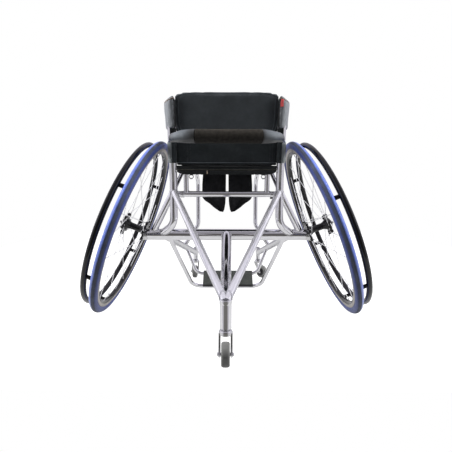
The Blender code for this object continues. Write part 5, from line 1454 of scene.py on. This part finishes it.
def surroundings():
    """White to the eye, plain light on the piece, and for its gloss a room with a dark band behind."""
    world = bpy.data.worlds.new("studio")
    bpy.context.scene.world = world
    world.use_nodes = True
    tree = world.node_tree
    tree.nodes.clear()
    path = add_node(tree, "LightPath")
    direction = add_node(tree, "SeparateXYZ", Vector=add_node(tree, "TexCoord").outputs["Generated"])
    height = ranged(tree, direction.outputs["Z"], -1.0, 1.0, kind="LINEAR")

    def ramp(*stops):
        node = add_node(tree, "ValToRGB", Fac=height)
        node.color_ramp.interpolation = "EASE"
        while len(node.color_ramp.elements) < len(stops):
            node.color_ramp.elements.new(0.5)
        for element, (place, *colour) in zip(node.color_ramp.elements, stops):
            element.position = place
            element.color = (*colour, 1.0)
        return node.outputs["Color"]

    def background(colour):
        return add_node(tree, "Background", Color=colour).outputs[0]

    def choose(fac, *shaders):
        node = add_node(tree, "MixShader")
        for socket, value in zip(node.inputs, (path.outputs[fac], *shaders)):
            tree.links.new(value, socket)
        return node.outputs[0]

    behind = ramp((0.0, 0.19, 0.185, 0.165), (0.37, 0.17, 0.165, 0.155), (0.47, 0.105, 0.098, 0.095),
                  (0.66, 0.1, 0.095, 0.098), (0.78, 0.33, 0.32, 0.35), (0.94, 0.37, 0.36, 0.4),
                  (1.0, 0.6, 0.58, 0.65))
    ahead = ramp((0.0, 0.55, 0.54, 0.58), (0.45, 0.42, 0.41, 0.45), (0.52, 0.3, 0.29, 0.33),
                 (0.62, 0.36, 0.35, 0.41), (0.8, 0.68, 0.66, 0.75), (1.0, 0.72, 0.7, 0.78))
    beside = ramp((0.0, 0.5, 0.5, 0.51), (0.45, 0.62, 0.61, 0.65), (0.54, 0.64, 0.62, 0.69),
                  (0.66, 1.05, 1.04, 1.12), (0.86, 0.9, 0.88, 0.98), (1.0, 0.7, 0.68, 0.76))
    plain = ramp((0.0, *grey(0.07)), (0.46, *grey(0.1)), (0.58, *grey(0.2, 0.01)), (1.0, *grey(0.3, 0.01)))
    room = colour_mix(tree, ranged(tree, direction.outputs["Y"], 0.1, -0.4), ahead, behind)
    sideways = sums(tree, "ABSOLUTE", direction.outputs["X"])
    room = colour_mix(tree, ranged(tree, sideways, 0.4, 0.8), room, beside)
    glossy = choose("Is Glossy Ray", background(plain), background(room))
    seen = choose("Is Camera Ray", glossy, background((1.0, 1.0, 1.0, 1.0)))
    tree.links.new(seen, add_node(tree, "OutputWorld").inputs["Surface"])


def softbox(name, spot, aim, size, power, colour=(1.0, 1.0, 1.0)):
    lamp = bpy.data.lights.new(name, "AREA")
    lamp.shape = "RECTANGLE"
    lamp.size, lamp.size_y = size
    lamp.energy = power
    lamp.color = colour
    holder = linked(name, lamp)
    holder.location = spot
    holder.rotation_euler = (Vector(aim) - Vector(spot)).to_track_quat("-Z", "Y").to_euler()
    holder.visible_glossy = False


def camera():
    pitch, yaw, roll = CAMERA_PITCH, CAMERA_YAW, CAMERA_ROLL
    forward = Vector((sin(yaw) * cos(pitch), cos(yaw) * cos(pitch), -sin(pitch)))
    right = Vector((cos(yaw), -sin(yaw), 0))
    above = right.cross(forward)
    across = right * cos(roll) + above * sin(roll)
    above = above * cos(roll) - right * sin(roll)
    lens = bpy.data.cameras.new("view")
    lens.sensor_width = SENSOR_WIDTH
    lens.lens = FOCAL_PIXELS * SENSOR_WIDTH / IMAGE_PIXELS
    lens.clip_start = 0.05
    lens.clip_end = 50.0
    holder = linked("view", lens)
    turn = Matrix((across, above, -forward)).transposed().to_4x4()
    holder.matrix_world = Matrix.Translation(at(*CAMERA_SPOT)) @ turn
    bpy.context.scene.camera = holder


floor()
surroundings()
softbox("over", (0.0, -0.5, 2.3), (0.0, 0.0, 0.3), (2.4, 1.2), 30.0, (0.98, 0.98, 1.0))
softbox("left", (-1.9, -0.02, 1.15), (0.0, 0.0, 0.35), (1.4, 1.6), 88.0)
softbox("right", (1.9, -0.02, 1.15), (0.0, 0.0, 0.35), (1.4, 1.6), 76.0)
camera()
bpy.context.scene.view_settings.view_transform = "Standard"
